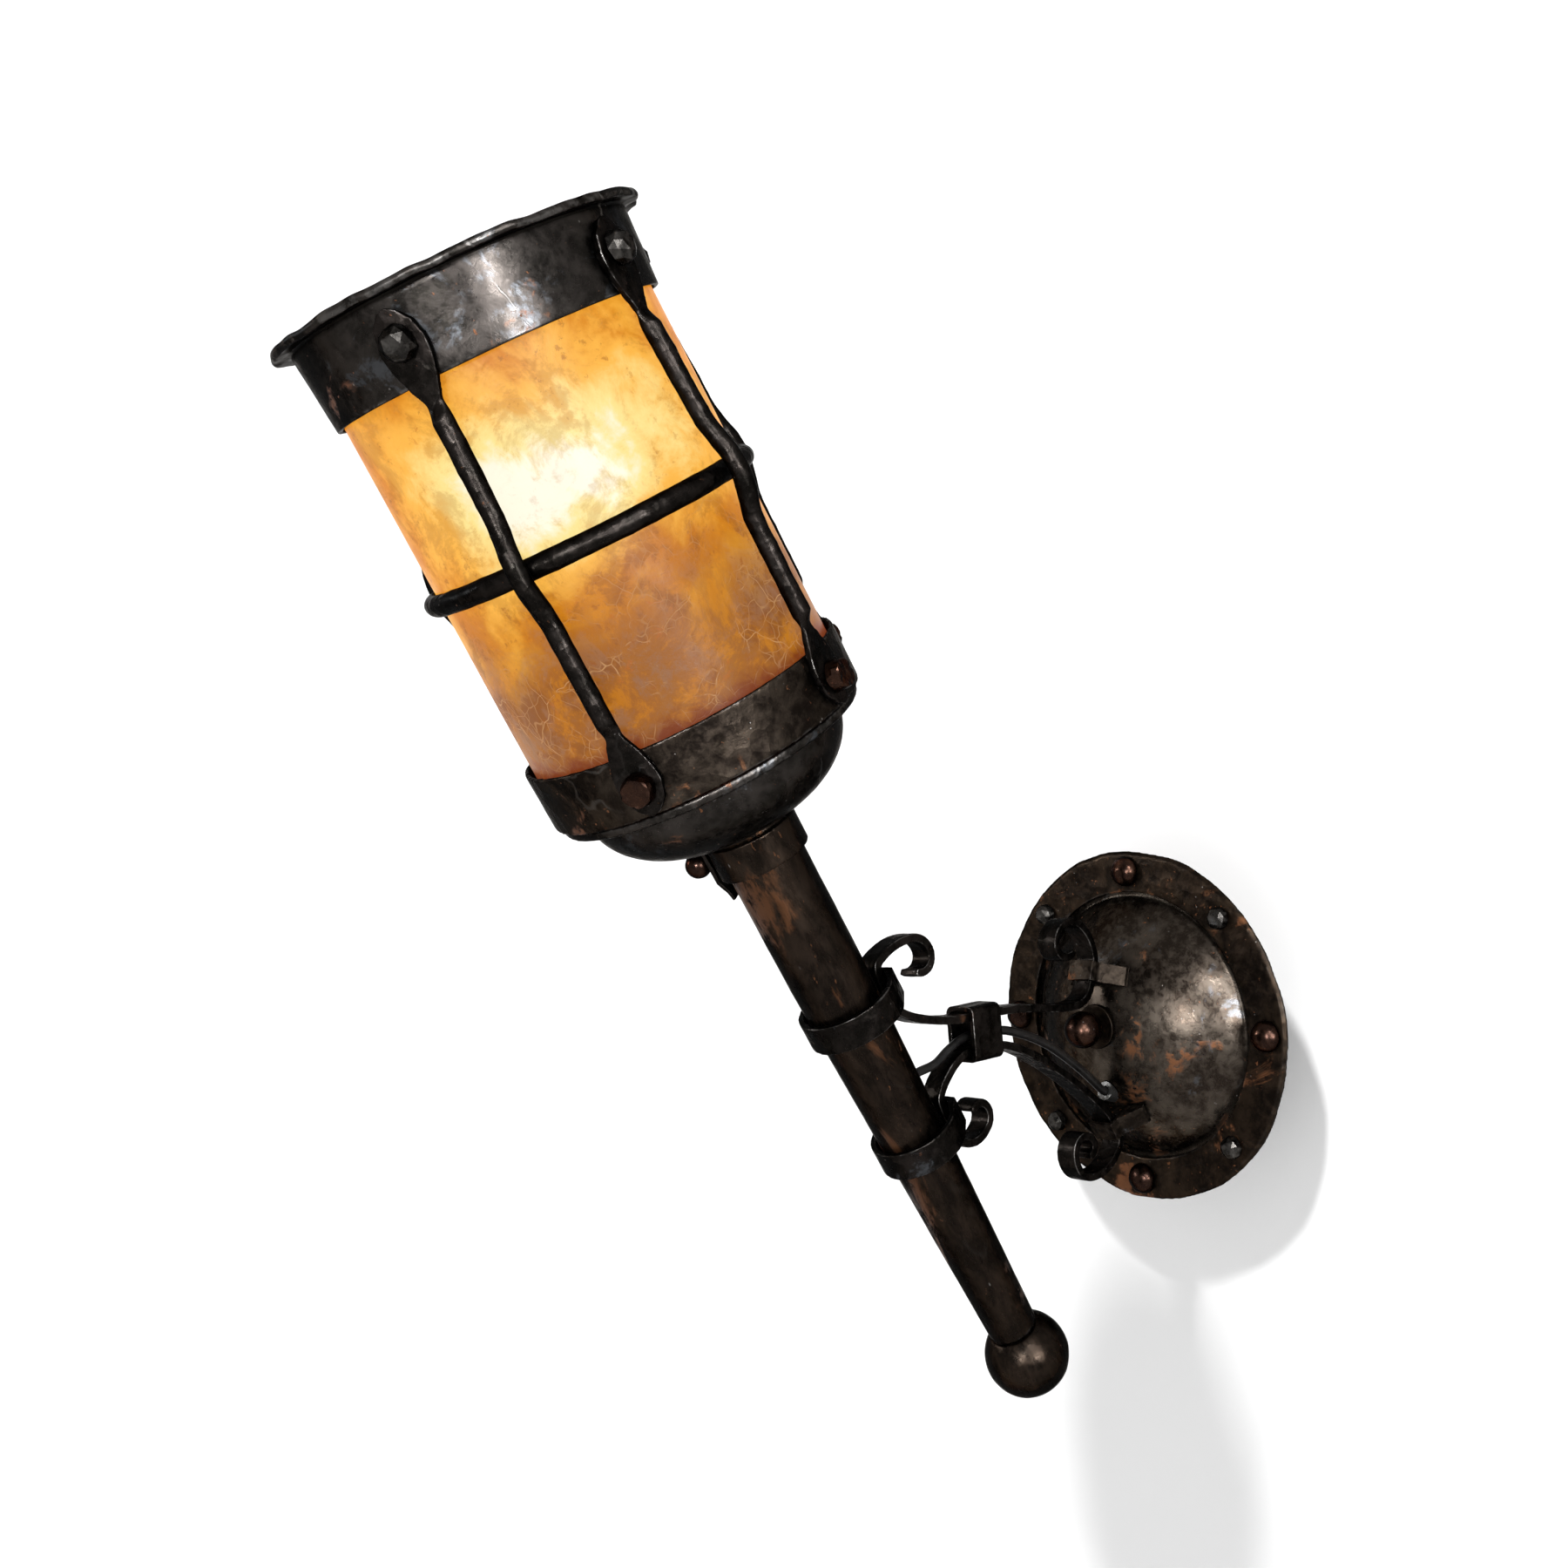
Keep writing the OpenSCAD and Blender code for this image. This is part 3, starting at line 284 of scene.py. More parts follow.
@cache
def aged_iron_group() -> bpy.types.NodeTree:
    """Returns the group that all iron shares: patina, rust, worn edges that are partly a painted highlight,
    painted shade in hollows, scratches and nicks.
    """
    inputs = {"Place": "NodeSocketVector"}
    inputs |= dict.fromkeys(("Base", "Patina", "Rust", "Worn"), COLOUR)
    inputs |= {"Rust Share": 0.4, "Worn Share": 0.3, "Scratches": 0.5, "Edge Wear": 1.0, "Gloss": 0.5}
    inputs |= {"Facets": 150.0, "Shift": 0.0}
    outputs = {"Color": COLOUR, "Roughness": NUMBER, "Metallic": NUMBER, "Height": NUMBER}
    g, i, made = new_group("ShaderNodeTree", "aged_iron", inputs, outputs)
    place = i["Place"] + g.join(i["Shift"], i["Shift"], i["Shift"])
    edge = g.add("ShaderNodeAttribute", out="Fac", attribute_name="edge")

    cloud = g.noise(place, 62.0, 9.0, 0.66, 0.5)
    coarse = g.noise(place + (3.1, 0.0, 0.0), 21.0, 7.0, 0.62, 0.9)
    mottle = g.noise(place + (0.0, 5.3, 0.0), 210.0, 6.0, 0.68, 0.3)
    tone = g.mix(g.ramp(cloud + coarse * 0.5, 0.66, 0.92), i["Base"], i["Patina"])
    tone = g.mix(g.ramp(mottle, 0.46, 0.62, 0.0, 0.45), tone, i["Patina"])

    # Grey-blue metal that shows where the black has rubbed away.
    bare_from = 0.70 - i["Worn Share"] * 0.2
    bare = g.ramp(g.noise(place + (0.0, 0.0, 7.7), 34.0, 9.0, 0.7, 0.6), bare_from, bare_from + 0.06)
    bare = bare * g.ramp(mottle, 0.36, 0.5, 0.4, 1.0)
    tone = g.mix(bare * 0.45, tone, i["Worn"])

    # Rust lies in patches, in specks and in hollows.
    hollow = g.ramp(edge * -1.0, 0.05, 0.5)
    rust_from = 0.72 - i["Rust Share"] * 0.25
    rust = g.ramp(coarse + hollow * 0.08, rust_from, rust_from + 0.07)
    rust = rust * g.ramp(g.noise(place, 120.0, 8.0, 0.7), 0.44, 0.54)
    speck_from = 0.70 - i["Rust Share"] * 0.06
    speck = g.ramp(g.noise(place + (4.0, 4.0, 1.0), 330.0, 4.0, 0.6), speck_from, speck_from + 0.03)
    rust = g.math("MAXIMUM", rust, speck * g.ramp(coarse, 0.42, 0.56))
    tone = g.mix(rust * 0.75, tone, i["Rust"])
    # Painted shade: hollows are darkened nearly to black.
    tone = g.mix(hollow * 0.85, tone, PAINTED_HOLLOW_SHADE)

    # A few long pale lines, nicks, and worn edges. The pale edges are partly real wear and partly a painted
    # highlight where edges catch the light.
    wander = g.drift(place, 30.0, 3.0)
    bent = place + (wander - MIDDLE) * 0.035
    line = g.ramp(g.cells(bent, 17.0, "DISTANCE_TO_EDGE"), 0.003, 0.013, 1.0, 0.0)
    line = line * g.ramp(g.noise(place + (9.0, 2.0, 0.0), 24.0, 2.0), 0.52, 0.56) * i["Scratches"]
    nick = g.ramp(g.cells(place, 300.0), 0.08, 0.16, 1.0, 0.0)
    nick = nick * g.ramp(g.noise(place + (0.0, 8.0, 1.0), 70.0, 3.0), 0.60, 0.66)
    # Painted highlight and wear: convex edges turn pale.
    worn_edge_sheen = g.ramp(edge, 0.30, 0.90) * i["Edge Wear"]
    worn_edge_sheen = g.math("MULTIPLY", worn_edge_sheen, g.ramp(g.noise(place, 110.0, 5.0, 0.65), 0.46, 0.58), clamp=True)
    pale = g.math("MAXIMUM", line * 0.32, nick * 0.4)
    pale = g.math("MAXIMUM", pale, worn_edge_sheen * 0.6, clamp=True)
    tone = g.mix(pale, tone, g.mix(0.3, i["Worn"], RUBBED_EDGE_AND_SHEEN))

    rough = 0.56 - i["Gloss"] * 0.3
    rough = rough + g.ramp(mottle, 0.35, 0.65, -0.06, 0.08)
    facet = g.cells(place + wander * 0.004, i["Facets"])
    height = cloud * 0.55 + mottle * 0.22 + coarse * 0.5 + facet * facet * 0.7
    height = height - g.math("MAXIMUM", line, nick) * 0.2 + rust * 0.10
    looks = {"Color": tone, "Roughness": g.blend(rust, rough, rough + 0.18)}
    looks["Metallic"] = g.blend(rust, 0.95, 0.45)
    g.feed(made, {**looks, "Height": height})
    return g.tree


@cache
def blotch_group() -> bpy.types.NodeTree:
    """Returns the group that plain finishes share: a faint blotchiness of colour, gloss and height."""
    inputs = {"Light": COLOUR, "Dark": COLOUR, "Scale": 120.0, "Rough": 0.4}
    outputs = {"Color": COLOUR, "Roughness": NUMBER, "Height": NUMBER}
    g, i, made = new_group("ShaderNodeTree", "faint_blotches", inputs, outputs)
    place = g.add("ShaderNodeTexCoord", out="Object")
    cloud = g.noise(place, i["Scale"], 5.0, 0.6, 0.3)
    speck = g.noise(place, i["Scale"] * 7.0, 2.0)
    tone = g.mix(g.ramp(cloud, 0.35, 0.68), i["Light"], i["Dark"])
    rough = i["Rough"] + g.ramp(cloud, 0.3, 0.7, -0.06, 0.1)
    g.feed(made, {"Color": tone, "Roughness": rough, "Height": cloud * 0.6 + speck * 0.3})
    return g.tree


@dataclass(frozen=True)
class Finish:
    """A named finish, the record's slot it belongs to, and the material made from it."""

    name: str
    slot: str

    @property
    def label(self) -> str:
        """The material's own name, apart from those of the frame."""
        return f"finish_{self.name}"

    def start(self) -> tuple[bpy.types.Material, Graph, bpy.types.Node]:
        """Returns a new material, its graph, and its main shader."""
        material = bpy.data.materials.new(self.label)
        material.use_nodes = True
        return material, Graph(material.node_tree), material.node_tree.nodes["Principled BSDF"]

    def shade(self, g: Graph, shader: bpy.types.Node, inputs: Values, height: Flow, depth: float) -> None:
        """Feeds the main shader, with a relief.

        Args:
            g: the material's graph.
            shader: the main shader.
            inputs: its inputs, but for the normal.
            height: the relief's height.
            depth: how deep the relief is, in metres.
        """
        normal = g.add("ShaderNodeBump", {"Height": height, "Distance": depth, "Strength": 1.0}, "Normal")
        g.feed(shader, {**inputs, "Normal": normal})

    def material(self) -> bpy.types.Material:
        """Returns the material, made once."""
        return bpy.data.materials.get(self.label) or self.make()

    def make(self) -> bpy.types.Material:
        """Makes the material. Each kind of finish has its own."""
        raise NotImplementedError


@dataclass(frozen=True)
class Torch:
    """The torch's leaning axis: a foot point, its direction, and where the lamp and the shade lie on it."""

    foot: Vector
    axis: Vector
    lamp_height: float
    shade_low: float
    shade_high: float

    @classmethod
    def from_frame(cls, frame: dict[str, Any], lamp_lift: float = 9 * MM) -> "Torch":
        """Reads the axis from the lantern's joint, and heights from the CAD nodes.

        Args:
            frame: the loaded frame.
            lamp_lift: how far the brightest place lies above the lamp's middle.

        Returns:
            The torch's axis.
        """
        joint = next(j for j in frame["joints"] if j["name"] == "lantern_turn")
        axis = Vector(joint["axis"]).normalized()
        at = Vector(joint["pos_m"])
        foot_low, foot_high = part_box("ball_finial")
        foot = at + axis * axis.dot((foot_low + foot_high) / 2 - at)

        def span(node: str) -> tuple[float, float]:
            heights = [axis.dot(v.co - foot) for v in frame["nodes"][node].data.vertices]
            return min(heights), max(heights)

        lamp = span("bulb_glass")
        return cls(foot, axis, (lamp[0] + lamp[1]) / 2 + lamp_lift, *span("mica_shade"))

    @property
    def turn(self) -> Matrix:
        """The rotation that lays the world's Z along the torch."""
        return Vector((0, 0, 1)).rotation_difference(self.axis).to_matrix()

    def radial(self, point: Vector) -> Vector:
        """Returns the unit direction from the axis out to a point."""
        off = point - self.foot
        return (off - self.axis * self.axis.dot(off)).normalized()

    def own_place(self, g: Graph) -> Flow:
        """Returns Object coordinates carried into the torch's own frame."""
        back = self.turn.inverted()
        place = g.add("ShaderNodeTexCoord", out="Object")
        inputs = {"Vector": place, "Location": -(back @ self.foot), "Rotation": back.to_euler("XYZ")}
        return g.add("ShaderNodeMapping", inputs)


@dataclass(frozen=True)
class Iron(Finish):
    """Blackened iron: its colours, and how much rust, wear, painted edge highlight and gloss it has."""

    base: Rgb = (0.006, 0.0045, 0.0035)
    patina: Rgb = (0.021, 0.016, 0.012)
    rust: Rgb = (0.130, 0.050, 0.020)
    worn: Rgb = (0.052, 0.056, 0.062)
    rust_share: float = 0.45
    worn_share: float = 0.35
    scratches: float = 0.15
    edge_wear: float = 0.35
    gloss: float = 0.65
    facets: float = 120.0
    relief: float = 0.6 * MM
    shift: float = 0.0
    torch: Torch | None = None
    stretch: float = 0.4
    specular: float = 0.25
    sheen: Rgb = (0.18, 0.165, 0.15)

    def make(self) -> bpy.types.Material:
        """Makes the iron, with its pattern drawn out along the torch where it is given one."""
        material, g, shader = self.start()
        if self.torch:
            place = g.vector("MULTIPLY", self.torch.own_place(g), (1.0, 1.0, self.stretch))
        else:
            place = g.add("ShaderNodeTexCoord", out="Object")
        colours = labelled(self, "base", "patina", "rust", "worn")
        names = ("rust_share", "worn_share", "scratches", "edge_wear", "gloss", "facets", "shift")
        shares = labelled(self, *names)
        given = {"Place": place, **colours, **shares}
        look = g.flows(g.node("ShaderNodeGroup", node_tree=aged_iron_group(), inputs=given))
        height = look.pop("Height")
        inputs = {"Base Color": look.pop("Color"), **look}
        inputs |= {"Specular IOR Level": self.specular, "Specular Tint": self.sheen}
        self.shade(g, shader, inputs, height, self.relief)
        return material


@dataclass(frozen=True)
class Plain(Finish):
    """A plain manufactured finish with faint blotches."""

    light: Rgb = (0.8, 0.8, 0.8)
    dark: Rgb = (0.6, 0.6, 0.6)
    rough: float = 0.4
    metallic: float = 0.0
    scale: float = 120.0
    coat: float = 0.0
    specular: float = 0.5
    relief: float = 0.05 * MM

    def make(self) -> bpy.types.Material:
        """Makes the plain finish."""
        material, g, shader = self.start()
        given = labelled(self, "light", "dark", "scale", "rough")
        look = g.flows(g.node("ShaderNodeGroup", node_tree=blotch_group(), inputs=given))
        inputs = {"Base Color": look["Color"], "Roughness": look["Roughness"], "Metallic": self.metallic}
        inputs |= {"Coat Weight": self.coat, "Specular IOR Level": self.specular}
        self.shade(g, shader, inputs, look["Height"], self.relief)
        return material


@dataclass(frozen=True)
class Mica(Finish):
    """Amber mica whose emission is painted lamp light: a painted pool of light beside the lamp, darker brown
    below it, crackled toward its foot.

    A step is a range of painted light or of mottling over which a colour comes in.
    """

    torch: Torch | None = None
    amber: Rgb = (0.09, 0.032, 0.004)
    brown: Rgb = (0.05, 0.02, 0.006)
    lower_brown: Rgb = (0.05, 0.022, 0.010)
    strength: float = 0.95
    light_pool_reach: float = 40 * MM
    lower_reach: float = 58 * MM
    foot_reach: tuple[float, float] = (40 * MM, 50 * MM)
    dim: tuple[Rgb, Rgb] = ((0.66, 0.21, 0.004), (0.86, 0.38, 0.03))
    light_pool_steps: tuple[tuple[float, float, Rgb], ...] = (
        (0.10, 0.46, (0.97, 0.49, 0.07)),
        (0.42, 0.76, (1.0, 0.80, 0.30)),
        (0.72, 0.98, (1.05, 1.0, 0.82)),
    )
    deep: Rgb = (0.46, 0.16, 0.006)
    low_mottle_steps: tuple[tuple[float, float, Rgb], ...] = (
        (0.40, 0.50, (0.28, 0.095, 0.014)),
        (0.50, 0.60, (0.24, 0.115, 0.062)),
        (0.60, 0.68, (0.11, 0.042, 0.020)),
    )
    stained: Rgb = (0.22, 0.066, 0.010)
    hazy: Rgb = (0.32, 0.17, 0.10)
    specked: Rgb = (0.30, 0.08, 0.01)
    flecked: Rgb = (0.50, 0.12, 0.01)
    cracked: Rgb = (0.62, 0.34, 0.14)
    foot_tone: Rgb = (0.16, 0.022, 0.006)
    transmission: float = 0.08
    ior: float = 1.25
    specular: float = 0.2
    relief: float = 0.35 * MM

    def make(self) -> bpy.types.Material:
        """Makes the mica."""
        material, g, shader = self.start()
        own = self.torch.own_place(g)
        height = g.split(own)[2]
        low, lamp = self.torch.shade_low, self.torch.lamp_height

        # Three noises: broad clouds, mottles, and small specks.
        cloud = g.noise(own, 16.0, 5.0, 0.6, 0.7)
        mottle = g.noise(own + (1.0, 4.0, 0.0), 48.0, 9.0, 0.70, 0.35)
        speck = g.noise(own + (6.0, 0.0, 2.0), 190.0, 5.0, 0.7)
        foot = g.ramp(height + mottle * 0.03, *(low + reach for reach in self.foot_reach), 1.0, 0.0)
        lower = g.ramp(height + cloud * 0.05, lamp - self.lower_reach, lamp, 1.0, 0.0)
        # Painted pool of lamp light: brightest at the lamp's height and where the sheet faces the viewer,
        # fading above, below and toward the outline.
        near = (height - lamp) / self.light_pool_reach
        near = g.math("EXPONENT", near * near * -1.0)
        facing = 1.0 - g.add("ShaderNodeLayerWeight", {"Blend": 0.5}, "Facing")
        painted_light = near * facing + g.ramp(cloud, 0.3, 0.7, -0.20, 0.16) + g.ramp(mottle, 0.3, 0.7, 0.07, -0.14)

        # The emission colour is painted lamp light, from dim amber to a white-hot centre.
        glow = g.mix(g.ramp(cloud, 0.40, 0.60), *self.dim)
        for start, end, colour in self.light_pool_steps:
            glow = g.mix(g.ramp(painted_light, start, end), glow, colour)
        # Below the lamp the painted light turns a darker, mottled brown.
        low_mottle = g.noise(own + (8.0, 3.0, 2.0), 34.0, 9.0, 0.74, 0.5)
        deep = self.deep
        for start, end, colour in self.low_mottle_steps:
            deep = g.mix(g.ramp(low_mottle, start, end), deep, colour)
        glow = g.mix(lower * 0.9, glow, deep)

        # Stains, haze, specks and crackle, all stronger toward the foot.
        stain = g.ramp(mottle, 0.50, 0.60)
        glow = g.mix(stain * g.blend(lower, 0.24, 0.72), glow, self.stained)
        haze = g.ramp(g.noise(own + (2.0, 2.0, 7.0), 55.0, 7.0, 0.7, 0.5), 0.5, 0.68)
        glow = g.mix(haze * g.blend(lower, 0.06, 0.50), glow, self.hazy)
        # Specks and flecks show where the painted light is faint.
        outside_light_pool = g.ramp(painted_light, 0.35, 0.85, 1.0, 0.12) * 0.5
        glow = g.mix(g.ramp(speck, 0.60, 0.68) * outside_light_pool, glow, self.specked)
        fleck = g.ramp(g.noise(own + (3.0, 9.0, 1.0), 95.0, 8.0, 0.75, 1.5), 0.60, 0.68)
        glow = g.mix(fleck * outside_light_pool, glow, self.flecked)
        bent = own + g.drift(own, 60.0) * 0.012
        crack = g.ramp(g.cells(bent, 52.0, "DISTANCE_TO_EDGE"), 0.003, 0.014, 1.0, 0.0)
        small = g.ramp(g.cells(bent + (0.3, 0.1, 0.6), 140.0, "DISTANCE_TO_EDGE"), 0.01, 0.035, 1.0, 0.0)
        crack = g.math("MAXIMUM", crack, small * 0.55) * g.ramp(mottle + foot * 0.12, 0.46, 0.58)
        crack = crack * g.blend(lower, 0.10, 0.70)
        glow = g.mix(crack, glow, self.cracked)
        # The painted light darkens to red-brown toward the foot.
        glow = g.mix(foot * 0.9, glow, self.foot_tone)

        tint = g.mix(lower * 0.6, g.mix(g.ramp(mottle, 0.4, 0.7), self.amber, self.brown), self.lower_brown)
        inputs = {"Emission Color": glow, "Emission Strength": self.strength, "Base Color": tint}
        inputs |= {"Roughness": g.ramp(mottle, 0.3, 0.7, 0.34, 0.5), "Transmission Weight": self.transmission}
        inputs |= {"IOR": self.ior, "Specular IOR Level": self.specular}
        self.shade(g, shader, inputs, mottle + crack * -0.3, self.relief)
        return material


@dataclass(frozen=True)
class LitGlass(Finish):
    """Frosted lamp glass, lit."""

    warm: Rgb = (1.0, 0.72, 0.36)
    pale: Rgb = (1.0, 0.80, 0.48)
    frost: tuple[Rgb, Rgb] = ((0.9, 0.88, 0.84), (0.96, 0.95, 0.93))
    strength: float = 1.4

    def make(self) -> bpy.types.Material:
        """Makes the lit glass."""
        material, g, shader = self.start()
        cloud = g.noise(g.add("ShaderNodeTexCoord", out="Object"), 60.0, 3.0)
        light = g.mix(g.ramp(cloud, 0.3, 0.7), self.warm, self.pale)
        inputs = {"Emission Color": light, "Emission Strength": self.strength}
        inputs["Base Color"] = g.mix(cloud, *self.frost)
        g.feed(shader, {**inputs, "Roughness": g.ramp(cloud, 0.2, 0.8, 0.3, 0.45)})
        return material


HAMMERED = Iron("hammered_iron", "hammered_iron", scratches=0.3)
DOME = Iron(
    "dome_iron", "hammered_iron", base=(0.014, 0.0105, 0.008), patina=(0.042, 0.034, 0.027), worn_share=0.5,
    edge_wear=0.05, gloss=0.90, facets=45.0, relief=0.35 * MM, shift=1.7,
)
BAND = Iron(
    "band_iron", "hammered_iron", base=(0.009, 0.008, 0.007), patina=(0.022, 0.019, 0.017), worn_share=0.7,
    rust_share=0.25, scratches=0.9, gloss=0.80, facets=50.0, relief=0.4 * MM, shift=3.4,
)
RING = Iron(
    "ring_iron", "hammered_iron", patina=(0.018, 0.012, 0.008),
    rust_share=0.5, scratches=0.03, worn_share=0.2,
    edge_wear=0.12, shift=5.2,
)
BLACK = Iron(
    "black_iron", "black_iron", base=(0.004, 0.0035, 0.003), patina=(0.011, 0.009, 0.008),
    rust=(0.07, 0.028, 0.012), rust_share=0.2, scratches=0.05, worn_share=0.3, edge_wear=0.8, gloss=0.80,
    facets=190.0, relief=0.5 * MM, shift=2.2,
)
RUSTY = Iron(
    "rusty_iron", "rusty_iron", base=(0.012, 0.0065, 0.005), patina=(0.024, 0.012, 0.008),
    rust=(0.060, 0.020, 0.009), worn_share=0.2, edge_wear=0.1,
    gloss=1.0, facets=60.0, relief=0.12 * MM, shift=4.1,
)
RUBBED = Iron(
    "rubbed_iron", "hammered_iron", base=(0.012, 0.011, 0.010), patina=(0.050, 0.046, 0.042), rust_share=0.2,
    worn_share=0.6, gloss=0.95, relief=0.1 * MM, shift=6.3,
)
SHAFT = Iron(
    "shaft_iron", "shaft_iron", patina=(0.016, 0.011, 0.008), rust=(0.075, 0.030, 0.012), rust_share=0.54,
    scratches=0.05, worn_share=0.2, gloss=0.85, facets=80.0, shift=0.6,
)
CLIP = Iron("clip_iron", "hammered_iron", worn_share=0.4, edge_wear=0.6, gloss=0.35, facets=220.0, shift=7.7)
ZINC = Plain("zinc_plate", "zinc_steel", (0.62, 0.62, 0.58), (0.45, 0.45, 0.42), 0.35, metallic=1.0)
WORN_STEEL = Plain(
    "worn_steel", "worn_steel", (0.07, 0.068, 0.065), (0.02, 0.018, 0.016), 0.45, metallic=1.0, scale=300.0
)
BRASS = Plain("turned_brass", "brass", (0.72, 0.52, 0.24), (0.50, 0.34, 0.14), 0.32, metallic=1.0)
NICKEL = Plain("nickel_thread", "nickel_brass", (0.75, 0.73, 0.68), (0.52, 0.50, 0.46), 0.28, metallic=1.0)
PORCELAIN = Plain("glazed_porcelain", "porcelain", (0.84, 0.81, 0.74), (0.76, 0.72, 0.64), 0.22, coat=0.6)
GREEN = Plain("green_lacquer", "green_screw", (0.04, 0.24, 0.09), (0.02, 0.14, 0.05), 0.35)
BLOCK = Plain("moulded_block", "block_plastic", (0.80, 0.77, 0.69), (0.70, 0.67, 0.59), 0.5)
RUBBER = Plain(
    "lead_rubber", "lead_rubber", (0.007, 0.006, 0.006), (0.016, 0.013, 0.011), 0.42,
    scale=260.0, specular=0.12,
    relief=0.2 * MM,
)
LAMP = LitGlass("lit_lamp_glass", "lamp_glass")


# ---------- geometry trees ----------


class Workshop:
    """Builds the geometry trees and runs them on meshes."""

    @staticmethod
    def run(obj: bpy.types.Object, tree: bpy.types.NodeTree, values: dict[str, Any]) -> bpy.types.Object:
        """Runs a tree on an object and returns a new object with a plain mesh.

        Args:
            obj: the object to work on, which is removed.
            tree: the geometry tree.
            values: a value for each named input of the tree.

        Returns:
            The finished object.
        """
        modifier = obj.modifiers.new("work", "NODES")
        modifier.node_group = tree
        for item in tree.interface.items_tree:
            if item.in_out == "INPUT" and item.name in values:
                modifier[item.identifier] = values[item.name]
        obj.update_tag()
        graph = bpy.context.evaluated_depsgraph_get()
        mesh = bpy.data.meshes.new_from_object(obj.evaluated_get(graph), depsgraph=graph)
        name, old = obj.name, obj.data
        bpy.data.objects.remove(obj)
        bpy.data.meshes.remove(old)
        mesh.name = name
        return new_object(name, mesh)

    @staticmethod
    def start(name: str, inputs: dict[str, Any]) -> tuple[Graph, dict[str, Flow], Any, Flow]:
        """Starts a tree that takes a mesh, its own inputs and a finish, and returns it with the position."""
        inputs = {"Geometry": "NodeSocketGeometry", **inputs, "Finish": "NodeSocketMaterial"}
        g, i, made = new_group("GeometryNodeTree", name, inputs, {"Geometry": "NodeSocketGeometry"})
        return g, i, made, g.add("GeometryNodeInputPosition")

    @staticmethod
    def finish(
        g: Graph, i: dict[str, Flow], made: Any, geometry: Flow, smooth: Any = True
    ) -> bpy.types.NodeTree:
        """Ends a tree with its shading, Realize Instances and Set Material, and returns it."""
        shaded = g.add("GeometryNodeSetShadeSmooth", {"Geometry": geometry, "Shade Smooth": smooth})
        real = g.add("GeometryNodeRealizeInstances", {0: shaded})
        g.feed(made, {0: g.add("GeometryNodeSetMaterial", {"Geometry": real, "Material": i["Finish"]})})
        return g.tree

    @staticmethod
    @cache
    def hammer_tree() -> bpy.types.NodeTree:
        """Returns the tree that softens a mesh, marks its edges and beats shallow dents into it."""
        inputs = {"Soft": 2, "Edge Reach": 0.4 * MM, "Dent": 0.2 * MM, "Pitch": 8 * MM, "Wave": 0.3 * MM}
        g, i, made, position = Workshop.start("hammer_work", {**inputs, "Wave Pitch": 30 * MM, "Seed": 0.0})

        def blurred(passes: Any) -> Flow:
            inputs = {"Value": position, "Iterations": passes}
            return g.add("GeometryNodeBlurAttribute", inputs, "Value", data_type="FLOAT_VECTOR")

        shape = g.add("GeometryNodeSetPosition", {"Geometry": i["Geometry"], "Position": blurred(i["Soft"])})
        normal = g.add("GeometryNodeInputNormal")
        bulge = g.vector("DOT_PRODUCT", position - blurred(6), normal, "Value") / i["Edge Reach"]
        edge = {"Geometry": shape, "Name": "edge", "Value": bulge}
        shape = g.add("GeometryNodeStoreNamedAttribute", edge, data_type="FLOAT", domain="POINT")
        place = position + g.join(i["Seed"], i["Seed"], i["Seed"])
        place = place + (g.drift(place, 90.0, 1.0) - MIDDLE) * (3 * MM)
        cell = g.cells(place, 1.0 / i["Pitch"])
        dent = g.math("SUBTRACT", 1.0, cell * cell, clamp=True)
        wave = g.noise(place, 1.0 / i["Wave Pitch"], 2.0)
        offset = normal * ((dent * i["Dent"] + wave * i["Wave"]) * -1.0)
        shape = g.add("GeometryNodeSetPosition", {"Geometry": shape, "Offset": offset})
        return Workshop.finish(g, i, made, shape)

    @staticmethod
    @cache
    def rivet_tree() -> bpy.types.NodeTree:
        """Returns the tree that puts a hammered rivet on each point, aimed along its own direction."""
        inputs = {"Head Radius": 6 * MM, "Head Height": 5 * MM}
        inputs |= {"Shank Radius": 2.5 * MM, "Shank Length": 8 * MM}
        inputs |= {"Facets": 2, "Crown": 1.0, "Beating": 0.4 * MM, "Seed": 1, "Smooth": False}
        g, i, made, position = Workshop.start("rivet_row", inputs)
        ball = g.add("GeometryNodeMeshIcoSphere", {"Radius": 1.0, "Subdivisions": i["Facets"]}, "Mesh")
        x, y, z = g.split(position)
        rise = g.math("MINIMUM", g.math("MAXIMUM", z, 0.0), i["Crown"]) / i["Crown"] * i["Head Height"]
        domed = g.join(x * i["Head Radius"], y * i["Head Radius"], rise)
        head = g.add("GeometryNodeSetPosition", {"Geometry": ball, "Position": domed})
        stem = {"Vertices": 20, "Radius": i["Shank Radius"], "Depth": i["Shank Length"]}
        shank = g.add("GeometryNodeMeshCylinder", stem, "Mesh")
        sunk = g.join(z=i["Shank Length"] * -0.5)
        shank = g.add("GeometryNodeTransform", {"Geometry": shank, "Translation": sunk})
        join = g.node("GeometryNodeJoinGeometry", {0: head})
        g.feed(join, {0: shank})
        aim = g.add("GeometryNodeInputNamedAttribute", {"Name": "aim"}, "Attribute", data_type="FLOAT_VECTOR")
        turn = g.add("FunctionNodeAlignRotationToVector", {"Vector": aim}, axis="Z")
        draw = {"Max": math.tau, "Seed": i["Seed"]}
        spin = g.add("FunctionNodeRandomValue", draw, "Value", data_type="FLOAT")
        about = g.add("FunctionNodeEulerToRotation", {0: g.join(z=spin)})
        twist = {"Rotation": turn, "Rotate By": about}
        turn = g.add("FunctionNodeRotateRotation", twist, rotation_space="LOCAL")
        instances = {"Points": i["Geometry"], "Instance": Flow(g, join.outputs[0]), "Rotation": turn}
        rivets = g.add("GeometryNodeRealizeInstances", {0: g.add("GeometryNodeInstanceOnPoints", instances)})
